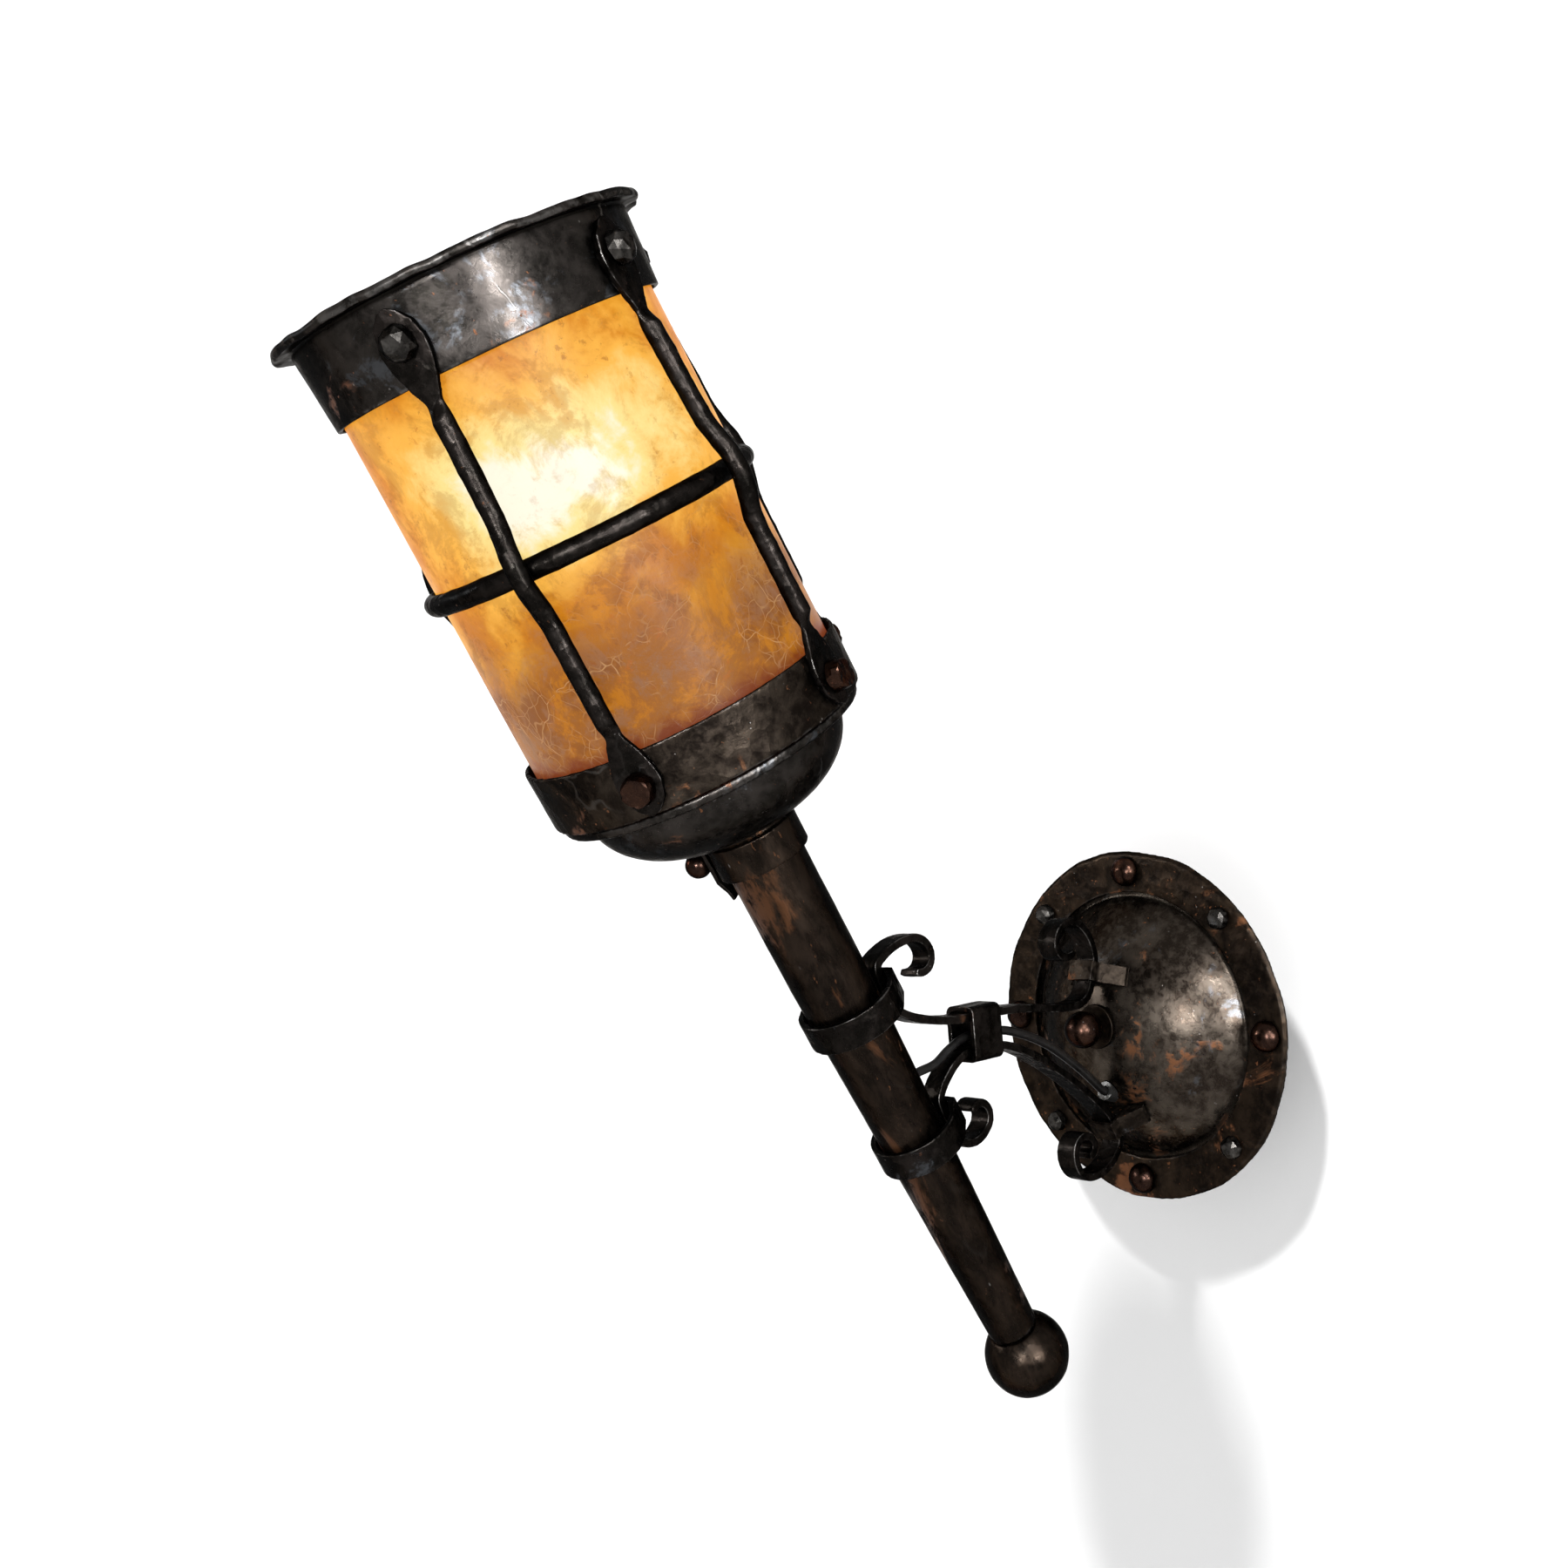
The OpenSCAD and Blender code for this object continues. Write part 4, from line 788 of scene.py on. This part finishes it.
        beat = (g.drift(position + g.join(i["Seed"]), 330.0, 1.0) - MIDDLE) * (i["Beating"] * 2.0)
        rivets = g.add("GeometryNodeSetPosition", {"Geometry": rivets, "Offset": beat})
        return Workshop.finish(g, i, made, rivets, i["Smooth"])

    @staticmethod
    @cache
    def lead_tree() -> bpy.types.NodeTree:
        """Returns the tree that sweeps a grooved two-core section along a path."""
        inputs = {"Radius": 2.4 * MM, "Groove": 0.24, "Groove Angle": 0.5}
        g, i, made, position = Workshop.start("twin_lead", inputs)
        path = g.add("GeometryNodeMeshToCurve", {0: i["Geometry"]})
        path = g.add("GeometryNodeCurveSplineType", {"Curve": path}, spline_type="CATMULL_ROM")
        path = g.add("GeometryNodeSetSplineResolution", {"Geometry": path, "Resolution": 6})
        ring = {"Resolution": 28, "Radius": i["Radius"]}
        section = g.add("GeometryNodeCurvePrimitiveCircle", ring, "Curve", mode="RADIUS")
        x, y, _ = g.split(position)
        lobe = g.math("ABSOLUTE", g.math("COSINE", g.math("ARCTAN2", y, x) + i["Groove Angle"]))
        share = 1.0 - g.math("POWER", 1.0 - lobe, 6.0) * i["Groove"]
        section = g.add("GeometryNodeSetPosition", {"Geometry": section, "Position": position * share})
        sweep = {"Curve": path, "Profile Curve": section, "Fill Caps": True}
        return Workshop.finish(g, i, made, g.add("GeometryNodeCurveToMesh", sweep))

    @staticmethod
    @cache
    def sheet_tree() -> bpy.types.NodeTree:
        """Returns the tree that bends a mica sheet into a slightly rippled cone round a leaning axis."""
        inputs = {"Foot Radius": 70 * MM, "Top Radius": 66.5 * MM, "Thickness": 1.2 * MM, "Height": 200 * MM}
        inputs |= {"Ripple": 0.4 * MM, "Place": "NodeSocketVector", "Turn": "NodeSocketRotation"}
        g, i, made, position = Workshop.start("mica_sheet", inputs)
        ring = {"Resolution": 300, "Radius": i["Foot Radius"] - i["Thickness"] * 0.5}
        hoop = g.add("GeometryNodeCurvePrimitiveCircle", ring, "Curve", mode="RADIUS")
        flat = {"Width": i["Thickness"], "Height": i["Height"]}
        strip = g.add("GeometryNodeCurvePrimitiveQuadrilateral", flat)
        strip = g.add("GeometryNodeSubdivideCurve", {"Curve": strip, "Cuts": 60})
        sheet = g.add("GeometryNodeCurveToMesh", {"Curve": hoop, "Profile Curve": strip})
        x, y, z = g.split(position)
        rise = z / i["Height"] + 0.5
        taper = 1.0 - rise * (1.0 - i["Top Radius"] / i["Foot Radius"])
        taper = taper - g.noise(position, 24.0, 3.0) * (i["Ripple"] / i["Foot Radius"])
        cone = g.join(x * taper, y * taper, rise * i["Height"])
        sheet = g.add("GeometryNodeSetPosition", {"Geometry": sheet, "Position": cone})
        stand = {"Geometry": sheet, "Translation": i["Place"], "Rotation": i["Turn"]}
        sheet = g.add("GeometryNodeTransform", stand)
        return Workshop.finish(g, i, made, sheet)


# ---------- pieces ----------


def new_object(name: str, data: bpy.types.ID) -> bpy.types.Object:
    """Returns a new object in the scene."""
    obj = bpy.data.objects.new(name, data)
    bpy.context.scene.collection.objects.link(obj)
    return obj


def mesh_object(
    name: str, points: Iterable[Any], edges: Iterable[Any] = (), faces: Iterable[Any] = ()
) -> bpy.types.Object:
    """Returns a new mesh object in the scene."""
    mesh = bpy.data.meshes.new(name)
    mesh.from_pydata([tuple(p) for p in points], list(edges), list(faces))
    return new_object(name, mesh)


def merged_copy(node: bpy.types.Object, name: str) -> bpy.types.Object:
    """Returns a copy of a CAD node's mesh with its loose triangles joined."""
    work = bmesh.new()
    work.from_mesh(node.data)
    bmesh.ops.remove_doubles(work, verts=work.verts, dist=JOINED)
    mesh = bpy.data.meshes.new(name)
    work.to_mesh(mesh)
    work.free()
    return new_object(name, mesh)


def settle(piece: bpy.types.Object, body: Body, finish: Finish, *nodes: str) -> bpy.types.Object:
    """Puts a finished piece on its body in place of its CAD nodes."""
    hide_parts(*nodes)
    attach(piece, body.value)
    log.info("%s: %d faces on %s", piece.name, len(piece.data.polygons), body.value)
    return piece


@dataclass(frozen=True)
class Forging:
    """How a CAD solid becomes a hammered piece. Lengths are in millimetres."""

    node: str
    finish: Iron
    body: Body = Body.FIXED
    grain: float = 0.8
    soft: int = 2
    edge_reach: float = 0.4
    dent: float = 0.18
    pitch: float = 8
    wave: float = 0.3
    wave_pitch: float = 30
    seed: float = 0.0

    def forge(self, frame: dict[str, Any]) -> bpy.types.Object:
        """Makes the piece from its CAD node in a loaded frame."""
        piece = merged_copy(frame["nodes"][self.node], f"forged_{self.node}")
        remesh = piece.modifiers.new("grain", "REMESH")
        remesh.mode = "VOXEL"
        remesh.voxel_size = self.grain * MM
        remesh.use_smooth_shade = True
        return self.beat(piece)

    def beat(self, piece: bpy.types.Object) -> bpy.types.Object:
        """Hammers a mesh, keeps it in front of the wall, and puts it on its body."""
        values = labelled(self, "edge_reach", "dent", "pitch", "wave", "wave_pitch", unit=MM)
        values |= {**labelled(self, "soft", "seed"), "Finish": self.finish.material()}
        piece = Workshop.run(piece, Workshop.hammer_tree(), values)
        for vertex in piece.data.vertices:
            vertex.co.y = min(vertex.co.y, 0.0)
        return settle(piece, self.body, self.finish, self.node)


@dataclass(frozen=True)
class RivetRow:
    """A set of equal rivets that stands for one CAD node."""

    node: str
    finish: Iron
    body: Body = Body.FIXED
    facets: int = 2
    crown: float = 1.0
    beating: float = 0.35 * MM
    smooth: bool = False
    seed: int = 1

    def drive(
        self, frame: dict[str, Any], aim_of: Callable[[Vector], Vector], slack: float = 0.5 * MM
    ) -> None:
        """Makes the rivets where the CAD's are, as one piece.

        Args:
            frame: the loaded frame.
            aim_of: gives the way a rivet at a point faces.
            slack: how far under the head's foot the shank is measured.
        """
        copy = merged_copy(frame["nodes"][self.node], "rivet_places")
        spots, aims, sizes = [], [], []
        for points in self._solids(copy.data):
            aim = aim_of(Vector(((points.min(0) + points.max(0)) / 2).tolist()))
            along = points @ np.array(aim)
            off = points - np.outer(along, np.array(aim))
            middle = (off.min(0) + off.max(0)) / 2
            reach = np.linalg.norm(off - middle, axis=1)
            base = along[reach > reach.max() * 0.98].min()
            spots.append(Vector(middle.tolist()) + aim * float(base))
            aims.append(aim)
            shank = reach[along < base - slack].max()
            sizes.append((reach.max(), along.max() - base, shank, base - along.min()))
        bpy.data.objects.remove(copy)
        row = mesh_object(self.node + "_driven", spots)
        attribute = row.data.attributes.new("aim", "FLOAT_VECTOR", "POINT")
        attribute.data.foreach_set("vector", np.array(aims, np.float32).ravel())
        labels = ("Head Radius", "Head Height", "Shank Radius", "Shank Length")
        values = {label: float(size) for label, size in zip(labels, np.mean(sizes, axis=0))}
        values |= labelled(self, "facets", "crown", "beating", "seed", "smooth")
        values["Finish"] = self.finish.material()
        settle(Workshop.run(row, Workshop.rivet_tree(), values), self.body, self.finish, self.node)

    @staticmethod
    def _solids(mesh: bpy.types.Mesh) -> list[np.ndarray]:
        """Returns the points of each separate solid of a mesh."""
        parent = list(range(len(mesh.vertices)))

        def root(v: int) -> int:
            while parent[v] != v:
                parent[v] = parent[parent[v]]
                v = parent[v]
            return v

        for edge in mesh.edges:
            a, b = (root(v) for v in edge.vertices)
            parent[a] = b
        groups: dict[int, list[Any]] = {}
        for vertex in mesh.vertices:
            groups.setdefault(root(vertex.index), []).append(vertex.co[:])
        return [np.array(points) for points in groups.values()]


@dataclass
class Assembly:
    """A group of pieces of the fitting. Each kind builds its own."""

    frame: dict[str, Any]
    torch: Torch

    def forge(self, *work: Forging) -> None:
        """Makes forged pieces."""
        for forging in work:
            forging.forge(self.frame)

    def dress(self, finish: Finish, *nodes: str) -> None:
        """Gives CAD nodes that keep their shape a finish."""
        for node in nodes:
            obj = self.frame["nodes"][node]
            obj.data.materials.clear()
            obj.data.materials.append(finish.material())
            for polygon in obj.data.polygons:
                polygon.material_index = 0
            log.info("%s: dressed as %s", node, finish.name)


@dataclass
class WallPlate(Assembly):
    """The hammered ring, the dome inside it, its rivets and its fixing."""

    work: tuple[Forging, ...] = (
        Forging("wall_ring", RING, grain=0.95, dent=0.3, pitch=10, wave=1.1, wave_pitch=15, seed=2.0),
        Forging("canopy_dome", DOME, grain=0.95, dent=0.12, pitch=16, wave=0.5, wave_pitch=26, seed=5.0),
        Forging("knob_washer", RING, grain=0.5, dent=0.1),
        Forging("canopy_knob", RUSTY, Body.KNOB, grain=0.5, dent=0.1, wave=0.2, wave_pitch=12),
    )
    rivets: tuple[RivetRow, ...] = (
        RivetRow("plate_rivets_large", RUSTY, facets=4, smooth=True, seed=3),
        RivetRow("plate_rivets_small", RUBBED, crown=0.8, beating=0.5 * MM, seed=8),
    )

    def build(self) -> None:
        """Makes the plate's pieces."""
        self.forge(*self.work)
        for row in self.rivets:
            row.drive(self.frame, lambda _: Vector((0, -1, 0)))
        self.dress(ZINC, "crossbar", "mounting_stud", "stud_nut")
        self.dress(GREEN, "earth_screw")
        self.dress(BLOCK, "terminal_block")


@dataclass
class ScrollBracket(Assembly):
    """The two scroll straps, their collar and clips, and the lead that runs along them."""

    strap: Forging = Forging("", BLACK, grain=0.62, dent=0.2, pitch=9, wave=0.25)
    collar: Forging = Forging("", BLACK, grain=0.6, dent=0.15, pitch=9, seed=3.0)
    clip: Forging = Forging("", CLIP, grain=0.55, dent=0.4, pitch=6, wave=0.8, wave_pitch=12, seed=7.0)
    lead_radius: float = 2.35 * MM

    def build(self) -> None:
        """Makes the bracket's pieces."""
        straps = enumerate(("upper_scroll", "lower_scroll"), start=1)
        self.forge(*(replace(self.strap, node=node, seed=float(seed)) for seed, node in straps))
        bands = ("bracket_collar", "upper_clamp", "lower_clamp")
        self.forge(*(replace(self.collar, node=node) for node in bands))
        self.forge(*(replace(self.clip, node=node) for node in ("upper_clip", "lower_clip")))
        self.dress(WORN_STEEL, "lead_bush")
        self.lay_lead()

    def lay_lead(self) -> None:
        """Sweeps the twin lead along its route, from the lampholder down the shaft and into the dome."""
        route = self.route()
        path = mesh_object("twin_supply_lead", route, [(k, k + 1) for k in range(len(route) - 1)])
        values = {"Radius": self.lead_radius, "Finish": RUBBER.material()}
        settle(Workshop.run(path, Workshop.lead_tree(), values), Body.FIXED, RUBBER, "supply_lead")

    def route(self) -> list[Vector]:
        """Returns the lead's points, as the CAD's tube follows them. They are written in millimetres."""
        straight = (395.5, 381, 366, 352, 338, 324, 310, 296, 282, 268, 254, 240, 226, 212, 200)
        in_shaft = [(0, height) for height in straight]
        in_shaft += [(0.2, 190), (1, 181), (2.6, 173), (5.4, 166), (9.6, 161.2), (14, 159.5), (20, 159.5)]
        in_open = [(-163, 4.4), (-153, 9.8), (-143, 13.6), (-133, 15), (-122, 14.6), (-110, 12.8), (-98, 9)]
        in_open += [(-87, 4.4), (-76, -1.6), (-65, -9), (-54, -17.2), (-45.5, -24.4)]
        in_dome = [(1.6, -21, -36.2), (5.4, -15.4, -35.4), (10.6, -11.4, -31), (15.8, -9.4, -24.4)]
        in_dome += [(20, -8.7, -17.4), (21.8, -8.5, -12), (22, -8.5, -7.2)]
        wallward = Vector((0, self.torch.axis.z, -self.torch.axis.y))
        entry, slope = Vector((0, -32, -33)), math.radians(-18)
        points = [self.torch.foot + (self.torch.axis * h + wallward * out) * MM for out, h in in_shaft]
        points += [Vector((0, y, z)) * MM for y, z in in_open]
        points += [(entry + Vector((0, math.cos(slope), math.sin(slope))) * k) * MM for k in (-6, 0, 5)]
        return points + [Vector(p) * MM for p in in_dome]


@dataclass
class TorchShaft(Assembly):
    """The tapered shaft and the ball at its foot."""

    def build(self) -> None:
        """Makes the shaft's pieces."""
        iron = replace(SHAFT, torch=self.torch)
        self.forge(
            Forging("shaft", iron, grain=0.95, dent=0.12, pitch=13, wave=0.4, wave_pitch=34),
            Forging("ball_finial", iron, grain=0.7, dent=0.3, pitch=9, wave=0.4, seed=4.0),
        )


@dataclass(frozen=True)
class FlangedBand:
    """The top band, a straight wall whose upper edge is beaten over into a wavy flange.

    Lengths are in metres. A ripple is how many waves go round, where they start, and their share
    of the waver.
    """

    hammering: Forging = Forging(
        "top_band", BAND, Body.LANTERN, soft=1, dent=0.14, pitch=12, wave=0.4, seed=3.5
    )
    flange: float = 4.2 * MM
    undercut: float = 0.9 * MM
    lip: float = 8 * MM
    step: float = 0.9 * MM
    turns: int = 430
    waver: float = 1.3 * MM
    ripples: tuple[tuple[int, float, float], ...] = (
        (7, 0.4, 0.32), (13, 2.2, 0.30), (23, 4.1, 0.24), (37, 1.3, 0.14)
    )

    def outline(self, foot: tuple[float, float, float], neck: float, rim: float, high: float) -> np.ndarray:
        """Returns the closed outline as radius and height, with points a step apart.

        Args:
            foot: the wall's inner and outer radius at its foot, and its height there.
            neck: the wall's outer radius under the flange.
            rim: the flange's radius.
            high: the height of the top.
        """
        inner, outer, low = foot
        under = high - self.flange
        corners = [
            (inner, low), (outer, low), (neck, under - self.undercut), (neck - self.undercut / 2, under),
            (rim - self.undercut, under + self.undercut / 3), (rim, under + self.flange / 2),
            (rim - self.undercut, high), (neck + self.undercut, high - self.undercut / 3),
            (neck - (outer - inner), under),
        ]
        points: list[tuple[float, float]] = []
        for (r0, z0), (r1, z1) in zip(corners, corners[1:] + corners[:1]):
            count = max(1, round(math.hypot(r1 - r0, z1 - z0) / self.step))
            points += [(r0 + (r1 - r0) * k / count, z0 + (z1 - z0) * k / count) for k in range(count)]
        return np.array(points)

    def spin(self, frame: dict[str, Any], torch: Torch) -> bpy.types.Object:
        """Turns the outline round the torch, in place of the CAD's band."""
        solid = frame["nodes"][self.hammering.node].data
        spots = np.array([v.co[:] for v in solid.vertices]) - np.array(torch.foot)
        axis = np.array(torch.axis)
        heights = spots @ axis
        reach = np.linalg.norm(spots - np.outer(heights, axis), axis=1)
        low, high = float(heights.min()), float(heights.max())
        at_foot = reach[heights < low + self.undercut / 3]
        neck = float(reach[heights < high - self.lip + self.undercut].max())
        rim = float(reach.max())
        outline = self.outline((float(at_foot.min()), float(at_foot.max()), low), neck, rim, high)
        angle = np.linspace(0.0, math.tau, self.turns, endpoint=False)[:, None]
        wave = sum(share * np.sin(count * angle + phase) for count, phase, share in self.ripples)
        drop = sum(share * np.cos((count + 2) * angle + phase) for count, phase, share in self.ripples)
        loose = np.clip((outline[:, 0] - neck) / (rim - neck), 0.0, 1.0) * (outline[:, 1] > high - self.lip)
        radius = outline[:, 0] - loose * self.waver * (0.5 + 0.5 * wave)
        height = outline[:, 1] - loose * self.waver * (0.5 + 0.5 * drop)
        points = np.stack([radius * np.cos(angle), radius * np.sin(angle), height], axis=2).reshape(-1, 3)
        points = points @ np.array(torch.turn).T + np.array(torch.foot)
        size = len(outline)
        faces = []
        for turn in range(self.turns):
            here, there = turn * size, (turn + 1) % self.turns * size
            steps = [(k, (k + 1) % size) for k in range(size)]
            faces += [(here + k, there + k, there + after, here + after) for k, after in steps]
        return self.hammering.beat(mesh_object("forged_top_band", points, faces=faces))


@dataclass
class Lantern(Assembly):
    """The collar, bowl, bands, mica shade, cage and lamp."""

    work: tuple[Forging, ...] = (
        Forging("screw_tab", BLACK, Body.LANTERN, grain=0.4, dent=0.12, pitch=5, wave=0.2),
        Forging("bowl", BAND, Body.LANTERN, grain=0.95, dent=0.15, pitch=12, wave=0.4, seed=1.5),
        Forging("bottom_band", HAMMERED, Body.LANTERN, dent=0.15, pitch=11, wave=0.5, seed=2.5),
        Forging("mid_ring", BLACK, Body.LANTERN, grain=0.7, dent=0.3, wave=0.4, seed=4.5),
    )
    screw: Forging = Forging("clamp_screw", RUSTY, Body.SCREW, grain=0.4, dent=0.15, pitch=5, wave=0.1)
    bar: Forging = Forging("", BLACK, Body.LANTERN, grain=0.62, dent=0.45, pitch=7, wave=0.4, wave_pitch=16)
    bars: tuple[str, ...] = ("bar_front", "bar_right", "bar_rear_right", "bar_rear", "bar_left")
    bar_seed_step: float = 1.3
    band: FlangedBand = FlangedBand()
    rivets: tuple[RivetRow, ...] = (
        RivetRow("top_band_rivets", RUBBED, Body.LANTERN, crown=0.85, beating=0.6 * MM, seed=5),
        RivetRow("bottom_band_rivets", RUSTY, Body.LANTERN, facets=3, crown=0.5, beating=0.7 * MM, seed=11),
    )

    def build(self) -> None:
        """Makes the lantern's pieces."""
        collar = replace(SHAFT, torch=self.torch)
        self.forge(Forging("head_collar", collar, Body.LANTERN, grain=0.6, dent=0.12, pitch=9, seed=6.0))
        self.forge(*self.work)
        for k, bar in enumerate(self.bars):
            self.forge(replace(self.bar, node=bar, seed=k * self.bar_seed_step))
        self.band.spin(self.frame, self.torch)
        self.forge(self.screw)
        for row in self.rivets:
            row.drive(self.frame, self.torch.radial)
        self.bend_mica()
        self.dress(BRASS, "nipple", "lampholder_cap")
        self.dress(ZINC, "nipple_locknut")
        self.dress(HAMMERED, "stem_tube")
        self.dress(PORCELAIN, "lampholder_shell")
        self.dress(NICKEL, "bulb_base")
        self.dress(LAMP, "bulb_glass")

    def bend_mica(self, level_slack: float = 0.1 * MM) -> None:
        """Bends the mica sheet where the CAD's cone is.

        Args:
            level_slack: how far from an end the cone's radius is still measured.
        """
        torch = self.torch
        reaches: dict[float, list[float]] = {torch.shade_low: [], torch.shade_high: []}
        for vertex in self.frame["nodes"]["mica_shade"].data.vertices:
            off = vertex.co - torch.foot
            height = torch.axis.dot(off)
            for level, found in reaches.items():
                if abs(height - level) < level_slack:
                    found.append((off - torch.axis * height).length)
        low, high = reaches.values()
        mica = Mica("lit_mica", "mica", torch=torch)
        values = {
            "Foot Radius": max(low),
            "Top Radius": max(high),
            "Thickness": max(low) - min(low),
            "Height": torch.shade_high - torch.shade_low,
            "Place": torch.foot + torch.axis * torch.shade_low,
            "Turn": torch.turn.to_euler(),
            "Finish": mica.material(),
        }
        sheet = mesh_object("bent_mica_shade", [(0, 0, 0)])
        settle(Workshop.run(sheet, Workshop.sheet_tree(), values), Body.LANTERN, mica, "mica_shade")


# ---------- studio ----------


@dataclass(frozen=True)
class Sheen:
    """A soft round lamp that only puts a sheen on the metal."""

    name: str
    place: Point
    size: float
    power: float
    colour: Rgb = (0.95, 0.975, 1.0)


@dataclass
class Studio:
    """The white wall and floor, the lamps and the camera."""

    azimuth: float = 45.71
    elevation: float = -1.28
    roll: float = -4.74
    stand: Point = (0.529, -0.665, 0.1185)
    focal_px: float = 1695.0
    centre_px: tuple[float, float] = (1071.3, 916.5)
    image_px: float = 1800.0
    sensor: float = 36.0
    clip: tuple[float, float] = (0.01, 50.0)
    wall_gap: float = 35 * MM
    wall_tones: tuple[Rgb, Rgb] = ((0.80, 0.80, 0.80), (0.805, 0.805, 0.805))
    wall_glow: float = 0.20
    wide: tuple[float, float] = (-6.5, 2.6)
    tall: tuple[float, float] = (-1.7, 3.2)
    near: float = -5.0
    sun_travel: Point = (-0.11, 1.0, -1.47)
    sun_power: float = 3.9
    sun_angle: float = 5.5
    sheens: tuple[Sheen, ...] = (
        Sheen("front", (0.93, -1.59, 0.15), 0.22, 50.0),
        Sheen("side", (1.62, -0.72, 0.16), 0.40, 52.0),
        Sheen("high", (1.23, -0.91, 0.75), 0.22, 30.0),
        Sheen("left", (-1.30, -1.40, 0.60), 0.36, 18.0),
    )
    aim: Point = (0.0, -0.2, 0.05)
    soft_light: float = 0.42

    def build(self) -> None:
        """Makes the stage, the lamps, the world and the camera."""
        self.make_stage()
        self.make_lamps()
        self.make_world()
        self.make_camera()

    @staticmethod
    def seen(g: Graph) -> Flow:
        """Returns 1 for camera, glossy and transmission rays, and 0 for others."""
        rays = g.flows(g.node("ShaderNodeLightPath"))
        seen = g.math("MAXIMUM", rays["Is Camera Ray"], rays["Is Glossy Ray"])
        return g.math("MAXIMUM", seen, rays["Is Transmission Ray"])

    def white(self) -> bpy.types.Material:
        """Returns the white that keeps a soft shadow and isn't there from behind."""
        material = bpy.data.materials.new("studio_white")
        material.use_nodes = True
        g = Graph(material.node_tree)
        g.tree.nodes.remove(g.tree.nodes["Principled BSDF"])
        grain = g.noise(g.add("ShaderNodeTexCoord", out="Object"), 3.0, 1.0)
        matt = g.add("ShaderNodeBsdfDiffuse", {"Color": g.mix(grain, *self.wall_tones)})
        glow = g.add("ShaderNodeEmission", {"Color": (1, 1, 1), "Strength": self.seen(g) * self.wall_glow})
        lit = g.add("ShaderNodeAddShader", {0: matt, 1: glow})
        behind = g.add("ShaderNodeNewGeometry", out="Backfacing")
        both = g.add("ShaderNodeMixShader", {0: behind, 1: lit, 2: g.add("ShaderNodeBsdfTransparent")})
        g.feed(g.tree.nodes["Material Output"], {"Surface": both})
        return material

    def make_stage(self) -> None:
        """Makes the wall behind the fitting and a floor far below it."""
        (left, right), (low, high), near, back = self.wide, self.tall, self.near, self.wall_gap
        corners = {
            "studio_wall": [(left, back, low), (right, back, low), (right, back, high), (left, back, high)],
            "studio_floor": [(left, near, low), (right, near, low), (right, back, low), (left, back, low)],
        }
        white = self.white()
        for name, points in corners.items():
            sheet = mesh_object(name, points, faces=[(0, 1, 2, 3)])
            sheet.data.materials.append(white)

    @staticmethod
    def shine(name: str, kind: str, travel: Vector, power: float) -> bpy.types.Object:
        """Makes a lamp that shines along a direction, and returns it."""
        lamp = new_object(name, bpy.data.lights.new(name, kind))
        lamp.data.energy = power
        lamp.rotation_euler = travel.to_track_quat("-Z", "Y").to_euler()
        return lamp

    def make_lamps(self) -> None:
        """Makes the key light, and the lamps that only put a sheen on the metal."""
        for sheen in self.sheens:
            travel = Vector(self.aim) - Vector(sheen.place)
            lamp = self.shine(f"studio_{sheen.name}", "AREA", travel, sheen.power)
            lamp.location = sheen.place
            lamp.data.shape, lamp.data.size, lamp.data.color = "DISK", sheen.size, sheen.colour
            lamp.visible_diffuse = False
        key = self.shine("studio_key", "SUN", Vector(self.sun_travel), self.sun_power)
        key.data.angle = math.radians(self.sun_angle)
        key.visible_glossy = False

    def make_world(self) -> None:
        """Makes the world: white where it is seen, and a plain soft light elsewhere."""
        world = bpy.data.worlds.new("studio_world")
        bpy.context.scene.world = world
        world.use_nodes = True
        g = Graph(world.node_tree)
        strength = self.seen(g) * (1.0 - self.soft_light) + self.soft_light
        g.feed(g.tree.nodes["Background"], {"Color": (1, 1, 1), "Strength": strength})

    def make_camera(self) -> None:
        """Makes the camera where the photograph was taken from."""
        a, e, r = (math.radians(v) for v in (self.azimuth, self.elevation, self.roll))
        back = Vector((math.sin(a) * math.cos(e), -math.cos(a) * math.cos(e), math.sin(e)))
        right = Vector((math.cos(a), math.sin(a), 0.0))
        up = back.cross(right)
        right, up = right * math.cos(r) + up * math.sin(r), up * math.cos(r) - right * math.sin(r)
        camera = new_object("photo_camera", bpy.data.cameras.new("photo_camera"))
        camera.data.sensor_width = self.sensor
        camera.data.lens = self.focal_px / self.image_px * self.sensor
        camera.data.shift_x = (self.image_px / 2 - self.centre_px[0]) / self.image_px
        camera.data.shift_y = (self.centre_px[1] - self.image_px / 2) / self.image_px
        camera.data.clip_start, camera.data.clip_end = self.clip
        camera.matrix_world = Matrix.Translation(self.stand) @ Matrix((right, up, back)).transposed().to_4x4()
        bpy.context.scene.camera = camera


def main() -> None:
    """Builds the dressed fitting and its studio."""
    logging.basicConfig(level=logging.INFO, format="%(name)s: %(message)s")
    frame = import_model()
    bpy.context.scene.view_settings.view_transform = "Standard"
    torch = Torch.from_frame(frame)
    Studio().build()
    for assembly in (WallPlate, ScrollBracket, TorchShaft, Lantern):
        assembly(frame, torch).build()


if __name__ == "__main__":
    main()
